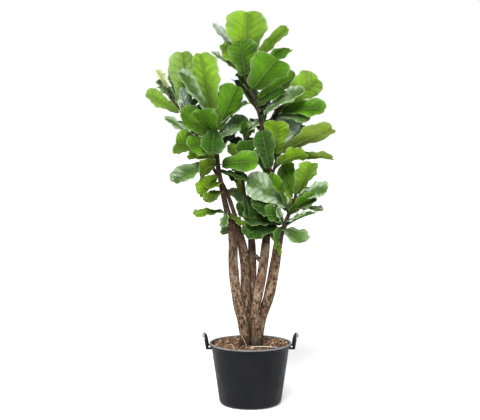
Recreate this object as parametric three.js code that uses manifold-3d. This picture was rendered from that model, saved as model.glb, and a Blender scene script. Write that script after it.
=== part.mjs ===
// Potted fiddle leaf fig: five woody stems planted together in a nursery container, each topped
// by a leafy crown. Millimetres, +Z up. The origin is the middle of the pot's flat underside, and
// the plant's front faces -Y.
import * as THREE from "three";
import { mergeVertices } from "three/addons/utils/BufferGeometryUtils.js";
import Module from "manifold-3d";

const wasm = await Module();
wasm.setup();

const DEGREE = Math.PI / 180;
const GOLDEN_TURN = 137.5; // from one leaf to the next round a stem, in degrees
const GAP = 0.3; // between pieces that touch

// The container
const POT_HEIGHT = 379;
const POT_UNDERSIDE_RADIUS = 156;
const POT_FOOT_RADIUS = 191; // where the rounded foot meets the wall
const POT_FOOT_HEIGHT = 28;
const POT_FOOT_ROUND = 9;
const POT_TOP_RADIUS = 238; // of the wall, just under the rim
const POT_WALL = 3.5;
const RIM_RADIUS = 250;
const RIM_DEPTH = 20;
const RIM_INNER_RADIUS = 240;
const RIM_ROUND = 5;
const POT_SIDES = 32;

// The soil
const SOIL_EDGE_HEIGHT = 364;
const SOIL_CROWN = 7; // how much higher it stands round the stems
const SOIL_LUMP = 1.6;
const SOIL_SKIRT_HEIGHT = 358; // where the lumpy surface begins
const SOIL_RINGS = 2;

// The two clip-on handles
const HANDLE_HALF_SPAN = 55;
const HANDLE_BAR_RADIUS = 9;
const HANDLE_BAR_HALF_WIDTH = 6;
const HANDLE_FOOT_X = 261;
const HANDLE_TOP_X = 277;
const HANDLE_TOP_HEIGHT = 424;
const HANDLE_CORNER = 24; // how much shorter the level top is than the span, at each end
const HANDLE_STEPS = 12;
const GRIP_HALF_LENGTH = 38;
const GRIP_RADIUS = 12; // of the curled lip along the top
const GRIP_WALL = 4;
const LUG_HEIGHT = 11; // of the foot that hooks under the rim
const LUG_HALF_WIDTH = 9;

// The plant label, which lies on the soil
const LABEL_START = [-5, -124];
const LABEL_LENGTH = 165;
const LABEL_TAG_LENGTH = 34;
const LABEL_WIDTH = 13;
const LABEL_TAG_WIDTH = 26;
const LABEL_TIP_LENGTH = 12;
const LABEL_SHOULDER = 6; // how long the widening from strip to tag is
const LABEL_THICKNESS = 1.5;
const LABEL_TURN = -3; // degrees from +X

// A dry leaf stalk that stands in the soil beside the stems: x, y, z and radius
const STRAW_ROUTE = [
  [-20, -84, 350, 2],
  [-30, -82, 388, 2],
  [-44, -80, 416, 1.8],
  [-62, -76, 447, 1.4],
];
const STRAW_SIDES = 6;

// Leaves
const PETIOLE_SHARE = 0.12; // of a leaf's whole length
const PETIOLE_RADIUS = 3.6;
const BLADE_THICKNESS = 1.3;
const BLADE_FOLD = 0.22; // how far each half lifts from the midrib, per unit of its width
const BLADE_WAVE = 7;
const BLADE_WAVES = 2.3; // along one margin
const MARGIN_STEP = 1.3; // how far each margin's waves are shifted, in radians
const LEAF_STEP = 2.4; // from one leaf's waves to the next leaf's, in radians
// The blade's half width, as a share of its widest, at places from its base to its tip: the
// fiddle's narrow waist, its broad shoulders and its blunt end. A short leaf has fewer points.
const BLADE_OUTLINE = [
  [0, 0.08],
  [0.12, 0.5],
  [0.34, 0.66],
  [0.58, 0.96],
  [0.8, 0.96],
  [1, 0.3],
];
const SHORT_OUTLINE = [
  [0, 0.08],
  [0.26, 0.6],
  [0.56, 0.96],
  [0.82, 0.93],
  [1, 0.3],
];
const SHORT_LEAF = 285;

// Stems
const BARK_LUMP = 0.035; // of the radius
const TRUNK_SIDES = 10;
const SHOOT_SIDES = 6;
const SHOOT_STEPS = 8; // at most, along one leafy shoot
const STUB_SIDES = 6;

const BARK = new THREE.Color(0x6b5c4d);
const LEAF_GREEN = new THREE.Color(0x4f8a2a);
const POT_PLASTIC = new THREE.Color(0x303236);
const SOIL_BROWN = new THREE.Color(0x6e4a33);
const LABEL_CREAM = new THREE.Color(0xf2ecdc);

// The limbs. A route's rows are x, y, z and radius, from the foot up. leafyFrom is the row where
// bare trunk becomes leafy shoot. A leaf's row is its place up the leafy part (0 to 1), azimuth
// (0 is +X, 90 is behind), rise, droop, roll, length, width and, where it differs, its fold.
// stubs are pruned side branches on the bare part: place up it, azimuth, rise, length and radius.
// behind gives the leaves on the far side: how many, from where to where, round which azimuth and
// how long.
const STEMS = [
  {
    name: "left",
    route: [
      [-28, -34, 210, 30],
      [-29, -34, 375, 31],
      [-37, -35, 460, 32],
      [-50, -35, 535, 33.5],
      [-67, -34, 595, 33],
      [-84, -33, 685, 31],
      [-98, -31, 780, 29.5],
      [-105, -29, 890, 29],
      [-106, -25, 1000, 27],
      [-120, -17, 1105, 22],
      [-141, -13, 1185, 18.5],
      [-161, -11, 1270, 16],
      [-180, -10, 1365, 15.5],
      [-196, -8, 1455, 15],
      [-204, -4, 1540, 14],
      [-211, 0, 1620, 11],
      [-215, 2, 1685, 8],
      [-220, 4, 1745, 5],
    ],
    leafyFrom: 9,
    leaves: [
      [0.04, 109, -47, 30, -10, 140, 70],
      [0.12, 208, -4, 10, -15, 220, 120],
      [0.29, 242, -15, 50, -15, 200, 90],
      [0.41, 231, -27, 50, 90, 220, 110],
      [0.45, 335, -14, 30, 20, 200, 80],
      [0.51, 218, -16, 40, -25, 345, 140],
      [0.51, 240, -17, 50, 75, 220, 150],
      [0.51, 340, 5, 15, 65, 260, 140],
      [0.56, 218, 9, 20, 55, 220, 80],
      [0.67, 230, 0, 30, -50, 240, 150],
      [0.7, 205, 40, 10, -55, 300, 190],
      [0.74, 29, 26, 15, 35, 260, 135],
      [0.76, 135, 45, 10, 80, 250, 130],
      [0.78, 245, 40, 0, 10, 250, 150],
      [0.84, 265, -35, 40, -15, 230, 150],
      [0.88, 18, 35, 10, 10, 260, 110],
      [0.93, 190, 55, 10, -35, 380, 180],
      [0.79, 346, 65, 5, -55, 325, 170, 0.5],
      [0.98, 216, 76, 0, 20, 410, 190],
      [0.81, 50, 40, 10, 0, 190, 100],
      [0.47, 25, -35, 30, 40, 150, 70],
      [0.36, 240, -10, 40, -10, 150, 95],
      [0.12, 261, -37, 40, 30, 140, 70],
      [0.65, 120, 30, 10, -5, 190, 120],
      [0.11, 320, -30, 15, 5, 150, 70],
    ],
    behind: { count: 4, from: 0.6, to: 0.95, azimuth: 108, length: 230 },
  },
  {
    name: "centre_left",
    route: [
      [-3, 27, 195, 24],
      [-4, 27, 365, 25],
      [-9, 22, 500, 26],
      [-21, 18, 620, 27.5],
      [-30, 15, 735, 29.5],
      [-33, 19, 860, 29.5],
      [-50, 26, 970, 28],
      [-73, 34, 1060, 24],
      [-102, 40, 1175, 13.5],
      [-152, 48, 1310, 11],
      [-237, 52, 1460, 10],
      [-309, 46, 1600, 9],
      [-363, 34, 1710, 8],
      [-416, 26, 1785, 7],
      [-464, 24, 1845, 5.5],
      [-499, 22, 1920, 4],
    ],
    leafyFrom: 8,
    leaves: [
      [0.39, 229, 8, 20, 65, 240, 165],
      [0.42, 160, 32, 10, 35, 275, 115],
      [0.55, 230, 65, 10, -75, 250, 110],
      [0.65, 209, 87, 5, 80, 390, 180],
      [0.69, 165, 27, -15, 50, 265, 140],
      [0.74, 115, 60, 5, 30, 240, 110],
      [0.89, 180, 50, 5, -35, 140, 60],
      [0.98, 220, 55, 10, 15, 150, 60],
      [0.82, 180, 50, 5, -25, 170, 70],
      [0.77, 180, 75, 5, -25, 200, 90],
      [0.52, 230, 50, 5, -60, 220, 100],
    ],
    behind: { count: 4, from: 0.3, to: 0.8, azimuth: 120, length: 220 },
  },
  {
    name: "centre",
    route: [
      [26, 66, 190, 21],
      [25, 66, 360, 22],
      [20, 63, 520, 24],
      [14, 61, 695, 25],
      [11, 56, 855, 25.5],
      [8, 50, 980, 23],
      [0, 42, 1075, 18],
      [-18, 36, 1185, 13.5],
      [-40, 36, 1310, 10.5],
      [-46, 38, 1420, 9.5],
      [-37, 44, 1520, 8],
      [-22, 48, 1625, 6],
      [-19, 50, 1670, 4],
    ],
    leafyFrom: 6,
    leaves: [
      [0.18, 138, 36, 15, -5, 190, 130],
      [0.23, 120, 45, 10, 90, 180, 90],
      [0.28, 280, -40, 60, -35, 200, 110],
      [0.54, 280, 50, 10, 5, 220, 120],
      [0.67, 125, 35, 15, -5, 170, 100],
      [0.84, 305, 35, 10, -15, 80, 40],
      [0.96, 25, 35, 10, 45, 120, 50],
      [0.46, 180, 65, 10, -35, 210, 110],
      [0.8, 245, 55, 10, -105, 130, 80],
      [0.8, 55, 50, 10, -10, 110, 60],
      [0.04, 226, 43, 20, -70, 170, 100],
    ],
    behind: { count: 3, from: 0.2, to: 0.65, azimuth: 110, length: 210 },
  },
  {
    name: "centre_right",
    stubs: [
      [0.27, 290, 35, 50, 13],
      [0.84, 185, 50, 74, 12],
    ],
    route: [
      [37, -43, 210, 29],
      [37, -43, 375, 30],
      [33, -43, 475, 30],
      [30, -40, 575, 29],
      [43, -34, 665, 30],
      [63, -26, 765, 29.5],
      [79, -18, 875, 28],
      [93, -10, 990, 25.5],
      [105, -4, 1120, 18],
      [115, 2, 1250, 15],
      [118, 8, 1370, 13.5],
      [112, 12, 1480, 11.5],
      [93, 14, 1595, 10],
      [67, 14, 1695, 9.5],
      [46, 13, 1780, 9],
      [15, 10, 1865, 8.5],
      [-16, 8, 1930, 7.5],
      [-33, 6, 1990, 6],
      [-36, 6, 2055, 4.5],
    ],
    leafyFrom: 7,
    leaves: [
      [0.31, 240, 68, 10, -150, 280, 130],
      [0.6, 345, 30, 20, 35, 320, 150],
      [0.67, 5, 30, 10, 35, 200, 110],
      [0.63, 140, 45, 10, 10, 280, 130],
      [0.7, 15, 30, 10, -50, 300, 160],
      [0.77, 303, 35, 5, -35, 340, 240],
      [0.89, 15, 32, 5, 20, 335, 140],
      [0.89, 249, 68, 0, -135, 250, 190],
      [0.91, 180, 55, 5, -50, 240, 120],
      [0.95, 354, 45, 3, -25, 370, 140],
      [0.97, 142, 50, 0, 5, 370, 125],
      [0.98, 277, 74, -5, -5, 350, 250],
      [0.92, 199, 33, 0, -25, 250, 80],
      [0.63, 115, 65, 5, 35, 180, 100],
      [0.27, 145, 63, 10, -15, 210, 140],
      [0.54, 70, 50, 10, -30, 180, 100],
      [0.06, 310, -52, 30, -90, 190, 50],
    ],
    behind: { count: 5, from: 0.35, to: 0.9, azimuth: 100, length: 240 },
    twigs: [
      {
        route: [
          [115, 6, 1325, 9],
          [130, -2, 1395, 9.5],
          [150, 0, 1470, 8.5],
          [160, 6, 1540, 5],
        ],
        leaves: [
          [0.6, 320, 20, 20, -35, 250, 130],
          [0.69, 343, 5, 20, -20, 360, 155],
          [0.83, 268, 57, 5, -10, 270, 160],
          [0.89, 336, 25, 12, -35, 400, 165],
          [0.92, 10, 15, 20, 25, 160, 70],
          [0.94, 55, 60, 5, 20, 280, 210],
          [0.83, 15, 50, 10, 25, 260, 160],
        ],
        behind: { count: 2, from: 0.5, to: 0.8, azimuth: 70, length: 200 },
      },
      {
        route: [
          [90, 14, 1610, 9],
          [115, 30, 1680, 9],
          [145, 44, 1745, 7.5],
          [170, 50, 1810, 5],
        ],
        leaves: [
          [0.66, 330, -5, 40, 25, 230, 120],
          [0.84, 338, 3, 20, 45, 310, 145],
          [0.97, 344, 35, 5, -60, 305, 185],
          [0.18, 45, 50, 10, -15, 230, 100],
        ],
        behind: { count: 1, from: 0.7, to: 0.9, azimuth: 80, length: 220 },
      },
    ],
  },
  {
    name: "right",
    route: [
      [49, 19, 200, 25],
      [49, 19, 365, 26],
      [60, 17, 480, 27.5],
      [84, 14, 575, 30],
      [110, 9, 655, 32],
      [133, 4, 765, 32],
      [151, -2, 875, 31],
      [167, -8, 985, 27],
      [182, -12, 1040, 19],
      [205, -14, 1095, 15],
      [226, -14, 1155, 12.5],
      [250, -12, 1215, 10.5],
      [271, -8, 1275, 8.5],
      [283, -4, 1330, 5],
    ],
    leafyFrom: 7,
    leaves: [
      [0.25, 205, -5, 50, -45, 260, 140],
      [0.25, 256, -20, 60, 95, 190, 100],
      [0.28, 294, -13, 35, 10, 265, 140],
      [0.39, 312, 21, 10, 25, 170, 90],
      [0.35, 200, 10, 30, -45, 270, 140],
      [0.42, 210, 25, 20, -50, 270, 140],
      [0.52, 320, 35, 15, -15, 240, 110],
      [0.56, 125, 15, 20, -10, 180, 100],
      [0.6, 335, 0, 30, 15, 210, 90],
      [0.62, 192, 30, 30, -65, 325, 190],
      [0.79, 324, 15, 20, 45, 245, 140],
      [0.8, 313, 57, 0, -15, 265, 150],
      [0.83, 119, 45, 5, 105, 250, 160],
      [0.56, 200, 60, 20, -45, 270, 120],
      [0.49, 335, 30, 15, 35, 220, 100],
      [0.34, 225, 30, 30, -70, 200, 110],
      [0.62, 110, 50, 10, 30, 170, 90],
      [0.3, 238, 54, 20, -80, 150, 80],
    ],
    behind: { count: 4, from: 0.3, to: 0.9, azimuth: 60, length: 220 },
  },
];

// ---- Solids ----

// A closed solid from points and triangles that face outwards.
function solid(points, triangles) {
  return new wasm.Manifold(
    new wasm.Mesh({
      numProp: 3,
      vertProperties: Float32Array.from(points.flatMap((p) => [p.x, p.y, p.z])),
      triVerts: Uint32Array.from(triangles.flat()),
    }),
  );
}

// A three.js geometry as a solid, with the vertices of its seams and poles merged.
function solidOf(geometry) {
  geometry.deleteAttribute("normal");
  geometry.deleteAttribute("uv");
  const merged = mergeVertices(geometry, 1e-3);
  return new wasm.Manifold(
    new wasm.Mesh({
      numProp: 3,
      vertProperties: merged.attributes.position.array,
      triVerts: Uint32Array.from(merged.index.array),
    }),
  );
}

// The named mesh of a solid.
function meshOf(name, body, color, roughness) {
  const { vertProperties, triVerts } = body.getMesh();
  const geometry = new THREE.BufferGeometry();
  geometry.setAttribute("position", new THREE.BufferAttribute(vertProperties, 3));
  geometry.setIndex(new THREE.BufferAttribute(triVerts, 1));
  geometry.computeVertexNormals();
  const material = new THREE.MeshStandardMaterial({ color, roughness, metalness: 0 });
  const mesh = new THREE.Mesh(geometry, material);
  mesh.name = name;
  return mesh;
}

// A solid skinned over rings of points, each ring running right-handed about the way forward.
function loft(rings) {
  const sides = rings[0].length;
  const last = (rings.length - 1) * sides;
  const triangles = [];
  for (let ring = 0; ring < rings.length - 1; ring++) {
    for (let i = 0; i < sides; i++) {
      const next = (i + 1) % sides;
      const [a, b] = [ring * sides + i, ring * sides + next];
      triangles.push([a, b, b + sides], [a, b + sides, a + sides]);
    }
  }
  for (let i = 1; i < sides - 1; i++) {
    triangles.push([0, i + 1, i], [last, last + i, last + i + 1]);
  }
  return solid(rings.flat(), triangles);
}

// A point at offsets along two directions from a middle.
function offset(middle, along, distanceAlong, across, distanceAcross) {
  return middle
    .clone()
    .addScaledVector(along, distanceAlong)
    .addScaledVector(across, distanceAcross);
}

// ---- Stems ----

// A limb: its centre line as a curve through its rows, and its radius between them.
function makeLimb(route) {
  const points = route.map(([x, y, z]) => new THREE.Vector3(x, y, z));
  const curve = new THREE.CatmullRomCurve3(points, false, "catmullrom", 0.5);
  const radiusAt = (t) => {
    const place = t * (route.length - 1);
    const row = Math.min(Math.floor(place), route.length - 2);
    return THREE.MathUtils.lerp(route[row][3], route[row + 1][3], place - row);
  };
  return { curve, radiusAt };
}

// A ring round a limb at t, moved by shift along it and grown by extra. Bark is a little lumpy.
function limbRing(limb, t, sides, shift = 0, extra = 0) {
  const forward = limb.curve.getTangent(t);
  const across = new THREE.Vector3(0, 1, 0).cross(forward).normalize();
  const back = forward.clone().cross(across);
  const middle = limb.curve.getPoint(t).addScaledVector(forward, shift);
  return Array.from({ length: sides }, (_, i) => {
    const angle = (i / sides) * 2 * Math.PI;
    const bump = 1 + BARK_LUMP * Math.sin(3 * angle + 40 * t) * Math.cos(17 * t + angle);
    const radius = limb.radiusAt(t) * bump + extra;
    return offset(middle, across, radius * Math.cos(angle), back, radius * Math.sin(angle));
  });
}

// The stretch of a limb from one t to another.
function limbSolid(limb, from, to, steps, sides, startShift = 0, endShift = 0) {
  const rings = [];
  for (let i = 0; i <= steps; i++) {
    const t = THREE.MathUtils.lerp(from, to, i / steps);
    const shift = i === 0 ? startShift : i === steps ? endShift : 0;
    rings.push(limbRing(limb, t, sides, shift));
  }
  return loft(rings);
}

// A pruned side branch: a short stub that leaves a limb's middle at its foot.
function stub(foot, azimuth, rise, length, radius) {
  const { forward, side, face } = directions(azimuth, rise);
  const ring = (distance, size) => {
    const middle = foot.clone().addScaledVector(forward, distance);
    return Array.from({ length: STUB_SIDES }, (_, i) => {
      const angle = (i / STUB_SIDES) * 2 * Math.PI;
      return offset(middle, side, size * Math.cos(angle), face, size * Math.sin(angle));
    });
  };
  return loft([ring(0, radius * 1.3), ring(length * 0.8, radius), ring(length, radius * 0.7)]);
}

// ---- Leaves ----

// A leaf's directions: forward, its level side, and the way that its upper face looks.
function directions(azimuth, rise, roll = 0) {
  const [a, r, turn] = [azimuth * DEGREE, rise * DEGREE, roll * DEGREE];
  const forward = new THREE.Vector3(
    Math.cos(a) * Math.cos(r),
    Math.sin(a) * Math.cos(r),
    Math.sin(r),
  );
  const level = new THREE.Vector3(-Math.sin(a), Math.cos(a), 0);
  const normal = forward.clone().cross(level);
  const zero = new THREE.Vector3();
  return {
    forward,
    side: offset(zero, level, Math.cos(turn), normal, Math.sin(turn)),
    face: offset(zero, normal, Math.cos(turn), level, -Math.sin(turn)),
  };
}

// A leaf's midrib is an arc: rise is the slope of its chord and droop how far it bends down.
function midribPoint(base, leaf, share) {
  const half = (leaf.droop * DEGREE * share) / 2;
  const chord = leaf.length * share * (half === 0 ? 1 : Math.sin(half) / half);
  const slope = leaf.rise + leaf.droop / 2 - (leaf.droop * share) / 2;
  return base.clone().addScaledVector(directions(leaf.azimuth, slope).forward, chord);
}

function midribDirections(leaf, share) {
  const slope = leaf.rise + leaf.droop / 2 - leaf.droop * share;
  return directions(leaf.azimuth, slope, leaf.roll);
}

// A leaf's cross sections, from the stem's middle along its stalk and blade: the place along it,
// half its width, how far its margins lift from its midrib, and half its thickness there.
function leafSections(leaf) {
  const stalk = { share: 0, out: PETIOLE_RADIUS, lifts: [0, 0], half: PETIOLE_RADIUS };
  const outline = leaf.length < SHORT_LEAF ? SHORT_OUTLINE : BLADE_OUTLINE;
  const blade = outline.map(([place, width]) => {
    const out = (width * leaf.width) / 2;
    const lifts = [-1, 1].map((side) => {
      const turn = 2 * Math.PI * BLADE_WAVES * place + leaf.phase + MARGIN_STEP * side;
      return leaf.fold * out + BLADE_WAVE * width * Math.sin(turn);
    });
    const share = PETIOLE_SHARE + (1 - PETIOLE_SHARE) * place;
    return { share, out, lifts, half: place === 0 ? PETIOLE_RADIUS * 0.8 : BLADE_THICKNESS / 2 };
  });
  return [stalk, ...blade];
}

// A leaf with its petiole: a thin waved plate, its two faces split into triangles alike.
function leafSolid(base, leaf) {
  const sections = leafSections(leaf);
  const upper = [];
  const lower = [];
  for (const { share, out, lifts, half } of sections) {
    const middle = midribPoint(base, leaf, share);
    const { side, face } = midribDirections(leaf, share);
    const edge = BLADE_THICKNESS / 2;
    upper.push(offset(middle, side, -out, face, lifts[0] + edge));
    upper.push(offset(middle, side, 0, face, half));
    upper.push(offset(middle, side, out, face, lifts[1] + edge));
    lower.push(offset(middle, side, -out, face, lifts[0] - edge));
    lower.push(offset(middle, side, 0, face, -half));
    lower.push(offset(middle, side, out, face, lifts[1] - edge));
  }
  const under = upper.length;
  const triangles = [];
  for (let row = 0; row < sections.length; row++) {
    const [left, middle, right] = [3 * row, 3 * row + 1, 3 * row + 2];
    for (const [a, b] of [[left, middle], [middle, right]]) {
      const [c, d] = [b + 3, a + 3];
      if (row === 0) triangles.push([a, b, b + under], [a, b + under, a + under]);
      if (row === sections.length - 1) {
        triangles.push([a, b + under, b], [a, a + under, b + under]);
      } else {
        triangles.push([a, c, b], [a, d, c]);
        triangles.push([a + under, b + under, c + under], [a + under, c + under, d + under]);
      }
    }
    if (row < sections.length - 1) {
      triangles.push([left, left + under, left + under + 3], [left, left + under + 3, left + 3]);
      triangles.push([right, right + under + 3, right + under], [right, right + 3, right + under + 3]);
    }
  }
  return solid([...upper, ...lower], triangles);
}

// The leaves on a limb's far side, one golden turn apart but kept behind it.
function leavesBehind({ count, from, to, azimuth, length }) {
  return Array.from({ length: count }, (_, i) => {
    const swing = ((i * GOLDEN_TURN) % 90) - 45;
    const at = THREE.MathUtils.lerp(from, to, i / Math.max(count - 1, 1));
    const size = length * (1 - 0.12 * (i % 2));
    return [at, azimuth + swing, 15 + 25 * at, 25, swing / 4, size, size * 0.55];
  });
}

// A leafy limb: its wood, its leaves and its twigs, fused.
function leafyPieces({ route, leafyFrom = 0, leaves, behind, twigs = [] }) {
  const limb = makeLimb(route);
  const from = leafyFrom / (route.length - 1);
  const steps = Math.min(route.length - 1 - leafyFrom, SHOOT_STEPS);
  const pieces = [limbSolid(limb, from, 1, steps, SHOOT_SIDES, leafyFrom ? GAP / 2 : 0)];
  [...leaves, ...leavesBehind(behind)].forEach((row, index) => {
    const [at, azimuth, rise, droop, roll, length, width, fold = BLADE_FOLD] = row;
    const leaf = { azimuth, rise, droop, roll, length, width, fold, phase: LEAF_STEP * index };
    const base = limb.curve.getPoint(THREE.MathUtils.lerp(from, 1, at));
    pieces.push(leafSolid(base, leaf));
  });
  return [...pieces, ...twigs.flatMap(leafyPieces)];
}

function crown(stem) {
  return wasm.Manifold.union(leafyPieces(stem));
}

// A stem's bare part, with its pruned side branches.
function trunk({ route, leafyFrom, stubs = [] }) {
  const limb = makeLimb(route);
  const to = leafyFrom / (route.length - 1);
  const wood = limbSolid(limb, 0, to, leafyFrom, TRUNK_SIDES, 0, -GAP / 2);
  const cut = stubs.map(([at, ...shape]) => stub(limb.curve.getPoint(at * to), ...shape));
  return wasm.Manifold.union([wood, ...cut]);
}

// ---- Pot, handles, soil and label ----

// The radius of the container's inner wall at a height above its foot. It flares in the rim.
function wallRadius(height) {
  const rimFoot = POT_HEIGHT - RIM_DEPTH;
  const up = (height - POT_FOOT_HEIGHT) / (rimFoot - POT_FOOT_HEIGHT);
  const wall = THREE.MathUtils.lerp(POT_FOOT_RADIUS, POT_TOP_RADIUS, Math.min(up, 1)) - POT_WALL;
  const flare = Math.max((height - rimFoot) / (RIM_DEPTH - RIM_ROUND), 0);
  return THREE.MathUtils.lerp(wall, RIM_INNER_RADIUS, flare);
}

function pot() {
  const rimTop = POT_HEIGHT;
  const rimFoot = POT_HEIGHT - RIM_DEPTH;
  const profile = [
    [0, 0],
    [POT_UNDERSIDE_RADIUS, 0],
    [POT_FOOT_RADIUS - POT_FOOT_ROUND, POT_FOOT_ROUND],
    [POT_FOOT_RADIUS, POT_FOOT_HEIGHT],
    [POT_TOP_RADIUS, rimFoot],
    [RIM_RADIUS - RIM_ROUND, rimFoot + RIM_ROUND],
    [RIM_RADIUS, rimFoot + 2 * RIM_ROUND],
    [RIM_RADIUS, rimTop - RIM_ROUND],
    [RIM_RADIUS - RIM_ROUND, rimTop],
    [RIM_INNER_RADIUS + RIM_ROUND, rimTop],
    [RIM_INNER_RADIUS, rimTop - RIM_ROUND],
    [wallRadius(rimFoot), rimFoot],
    [wallRadius(POT_FOOT_HEIGHT), POT_FOOT_HEIGHT],
    [POT_UNDERSIDE_RADIUS - POT_WALL, POT_WALL],
    [0, POT_WALL],
  ];
  const points = profile.map(([radius, height]) => new THREE.Vector2(radius, height));
  const lathe = new THREE.LatheGeometry(points, POT_SIDES);
  return solidOf(lathe.rotateX(Math.PI / 2));
}

// The height of the soil's surface: higher round the stems, with coarse lumps.
function soilHeight(x, y) {
  const radius = Math.hypot(x, y) / POT_TOP_RADIUS;
  const lumps = Math.sin(0.071 * x + 1) * Math.cos(0.083 * y) + Math.sin(0.13 * (x + y)) / 2;
  return SOIL_EDGE_HEIGHT + SOIL_CROWN * (1 - radius) + SOIL_LUMP * lumps;
}

function soil() {
  const edge = wallRadius(SOIL_SKIRT_HEIGHT) - GAP;
  const profile = [
    [0, POT_WALL + GAP],
    [POT_UNDERSIDE_RADIUS - POT_WALL - GAP, POT_WALL + GAP],
    [wallRadius(POT_FOOT_HEIGHT) - GAP, POT_FOOT_HEIGHT],
    [wallRadius(POT_HEIGHT - RIM_DEPTH) - GAP, POT_HEIGHT - RIM_DEPTH],
    [edge, SOIL_SKIRT_HEIGHT],
  ];
  for (let ring = SOIL_RINGS; ring >= 0; ring--) {
    profile.push([(edge * ring) / SOIL_RINGS, SOIL_EDGE_HEIGHT]);
  }
  const points = profile.map(([radius, height]) => new THREE.Vector2(radius, height));
  const geometry = new THREE.LatheGeometry(points, POT_SIDES).rotateX(Math.PI / 2);
  const position = geometry.getAttribute("position");
  for (let i = 0; i < position.count; i++) {
    if (position.getZ(i) >= SOIL_EDGE_HEIGHT - 1) {
      position.setZ(i, soilHeight(position.getX(i), position.getY(i)));
    }
  }
  const holes = [...STEMS, { route: STRAW_ROUTE }].map(stemHole);
  return holes.reduce((body, hole) => body.subtract(hole), solidOf(geometry));
}

// The plain hole that a stem stands in: the stem's own rings up to its third row, grown by a gap.
function stemHole({ route }) {
  const limb = makeLimb(route);
  const rings = [0, 1, 2].map((row) => {
    const shift = row === 0 ? -GAP : 0;
    return limbRing(limb, row / (route.length - 1), TRUNK_SIDES, shift, GAP);
  });
  return loft(rings);
}

// A handle on the side of +X or -X: a bowed bar, a curled lip along its top, and two lugs that
// hook under the rim.
function handle(sign) {
  const lugFoot = POT_HEIGHT - RIM_DEPTH - LUG_HEIGHT;
  const levelEnd = HANDLE_HALF_SPAN - HANDLE_CORNER;
  const half = [
    [HANDLE_FOOT_X, HANDLE_HALF_SPAN, lugFoot],
    [HANDLE_FOOT_X + 5, HANDLE_HALF_SPAN, POT_HEIGHT],
    [HANDLE_TOP_X - 5, HANDLE_HALF_SPAN - 6, HANDLE_TOP_HEIGHT - 15],
    [HANDLE_TOP_X, levelEnd, HANDLE_TOP_HEIGHT],
  ];
  const otherHalf = half.map(([x, y, z]) => [x, -y, z]).reverse();
  const points = [...half, [HANDLE_TOP_X, 0, HANDLE_TOP_HEIGHT + 1], ...otherHalf];
  const bow = new THREE.CatmullRomCurve3(
    points.map(([x, y, z]) => new THREE.Vector3(x, y, z)),
    false,
    "catmullrom",
    0.5,
  );
  const outward = new THREE.Vector3(1, 0, 0);
  const rings = Array.from({ length: HANDLE_STEPS + 1 }, (_, step) => {
    const t = step / HANDLE_STEPS;
    const across = bow.getTangent(t).cross(outward).normalize();
    return [0, 1, 2, 3, 4, 5].map((side) => {
      const angle = (side + 0.5) * 60 * DEGREE;
      const deep = HANDLE_BAR_RADIUS * Math.cos(angle);
      const wide = HANDLE_BAR_HALF_WIDTH * Math.sin(angle);
      return offset(bow.getPoint(t), outward, deep, across, wide);
    });
  });
  const whole = wasm.Manifold.union([loft(rings), grip(), lug(-1), lug(1)]);
  return sign > 0 ? whole : whole.mirror([1, 0, 0]);
}

// The curled lip: a C-shaped strip along the handle's top, open on its outer side.
function grip() {
  const shape = new THREE.Shape();
  const start = 150 * DEGREE;
  const end = -60 * DEGREE;
  shape.absarc(0, 0, GRIP_RADIUS, start, end, true);
  shape.absarc(0, 0, GRIP_RADIUS - GRIP_WALL, end, start, false);
  shape.closePath();
  const geometry = new THREE.ExtrudeGeometry(shape, {
    depth: 2 * GRIP_HALF_LENGTH,
    bevelEnabled: false,
    curveSegments: 5,
  });
  geometry.rotateX(Math.PI / 2);
  geometry.translate(HANDLE_TOP_X + GRIP_RADIUS - 7, GRIP_HALF_LENGTH, HANDLE_TOP_HEIGHT - 1);
  return solidOf(geometry);
}

function lug(end) {
  const top = POT_HEIGHT - RIM_DEPTH - GAP;
  const inner = Math.sqrt(POT_TOP_RADIUS ** 2 - (HANDLE_HALF_SPAN - LUG_HALF_WIDTH) ** 2) + GAP;
  const outer = HANDLE_FOOT_X + HANDLE_BAR_RADIUS;
  const geometry = new THREE.BoxGeometry(outer - inner, 2 * LUG_HALF_WIDTH, LUG_HEIGHT);
  geometry.translate((inner + outer) / 2, end * HANDLE_HALF_SPAN, top - LUG_HEIGHT / 2);
  return solidOf(geometry);
}

// The label: a thin strip with a wider tag at one end, laid on the soil's highest lumps.
function label() {
  const neck = LABEL_LENGTH - LABEL_TAG_LENGTH;
  const halfOutline = [
    [LABEL_TIP_LENGTH, LABEL_WIDTH / 2],
    [neck, LABEL_WIDTH / 2],
    [neck + LABEL_SHOULDER, LABEL_TAG_WIDTH / 2],
    [LABEL_LENGTH, LABEL_TAG_WIDTH / 2],
  ];
  const otherHalf = halfOutline.map(([x, y]) => [x, -y]);
  const outline = [[0, 0], ...otherHalf, ...halfOutline.reverse()];
  const shape = new THREE.Shape(outline.map(([x, y]) => new THREE.Vector2(x, y)));
  const geometry = new THREE.ExtrudeGeometry(shape, { depth: LABEL_THICKNESS, bevelEnabled: false });
  geometry.rotateZ(LABEL_TURN * DEGREE);
  geometry.translate(LABEL_START[0], LABEL_START[1], 0);
  const position = geometry.getAttribute("position");
  let highest = 0;
  for (let i = 0; i < position.count; i++) {
    highest = Math.max(highest, soilHeight(position.getX(i), position.getY(i)));
  }
  return solidOf(geometry.translate(0, 0, highest + GAP + 1));
}

function straw() {
  return limbSolid(makeLimb(STRAW_ROUTE), 0, 1, STRAW_ROUTE.length - 1, STRAW_SIDES);
}

// ---- The plant ----

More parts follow.
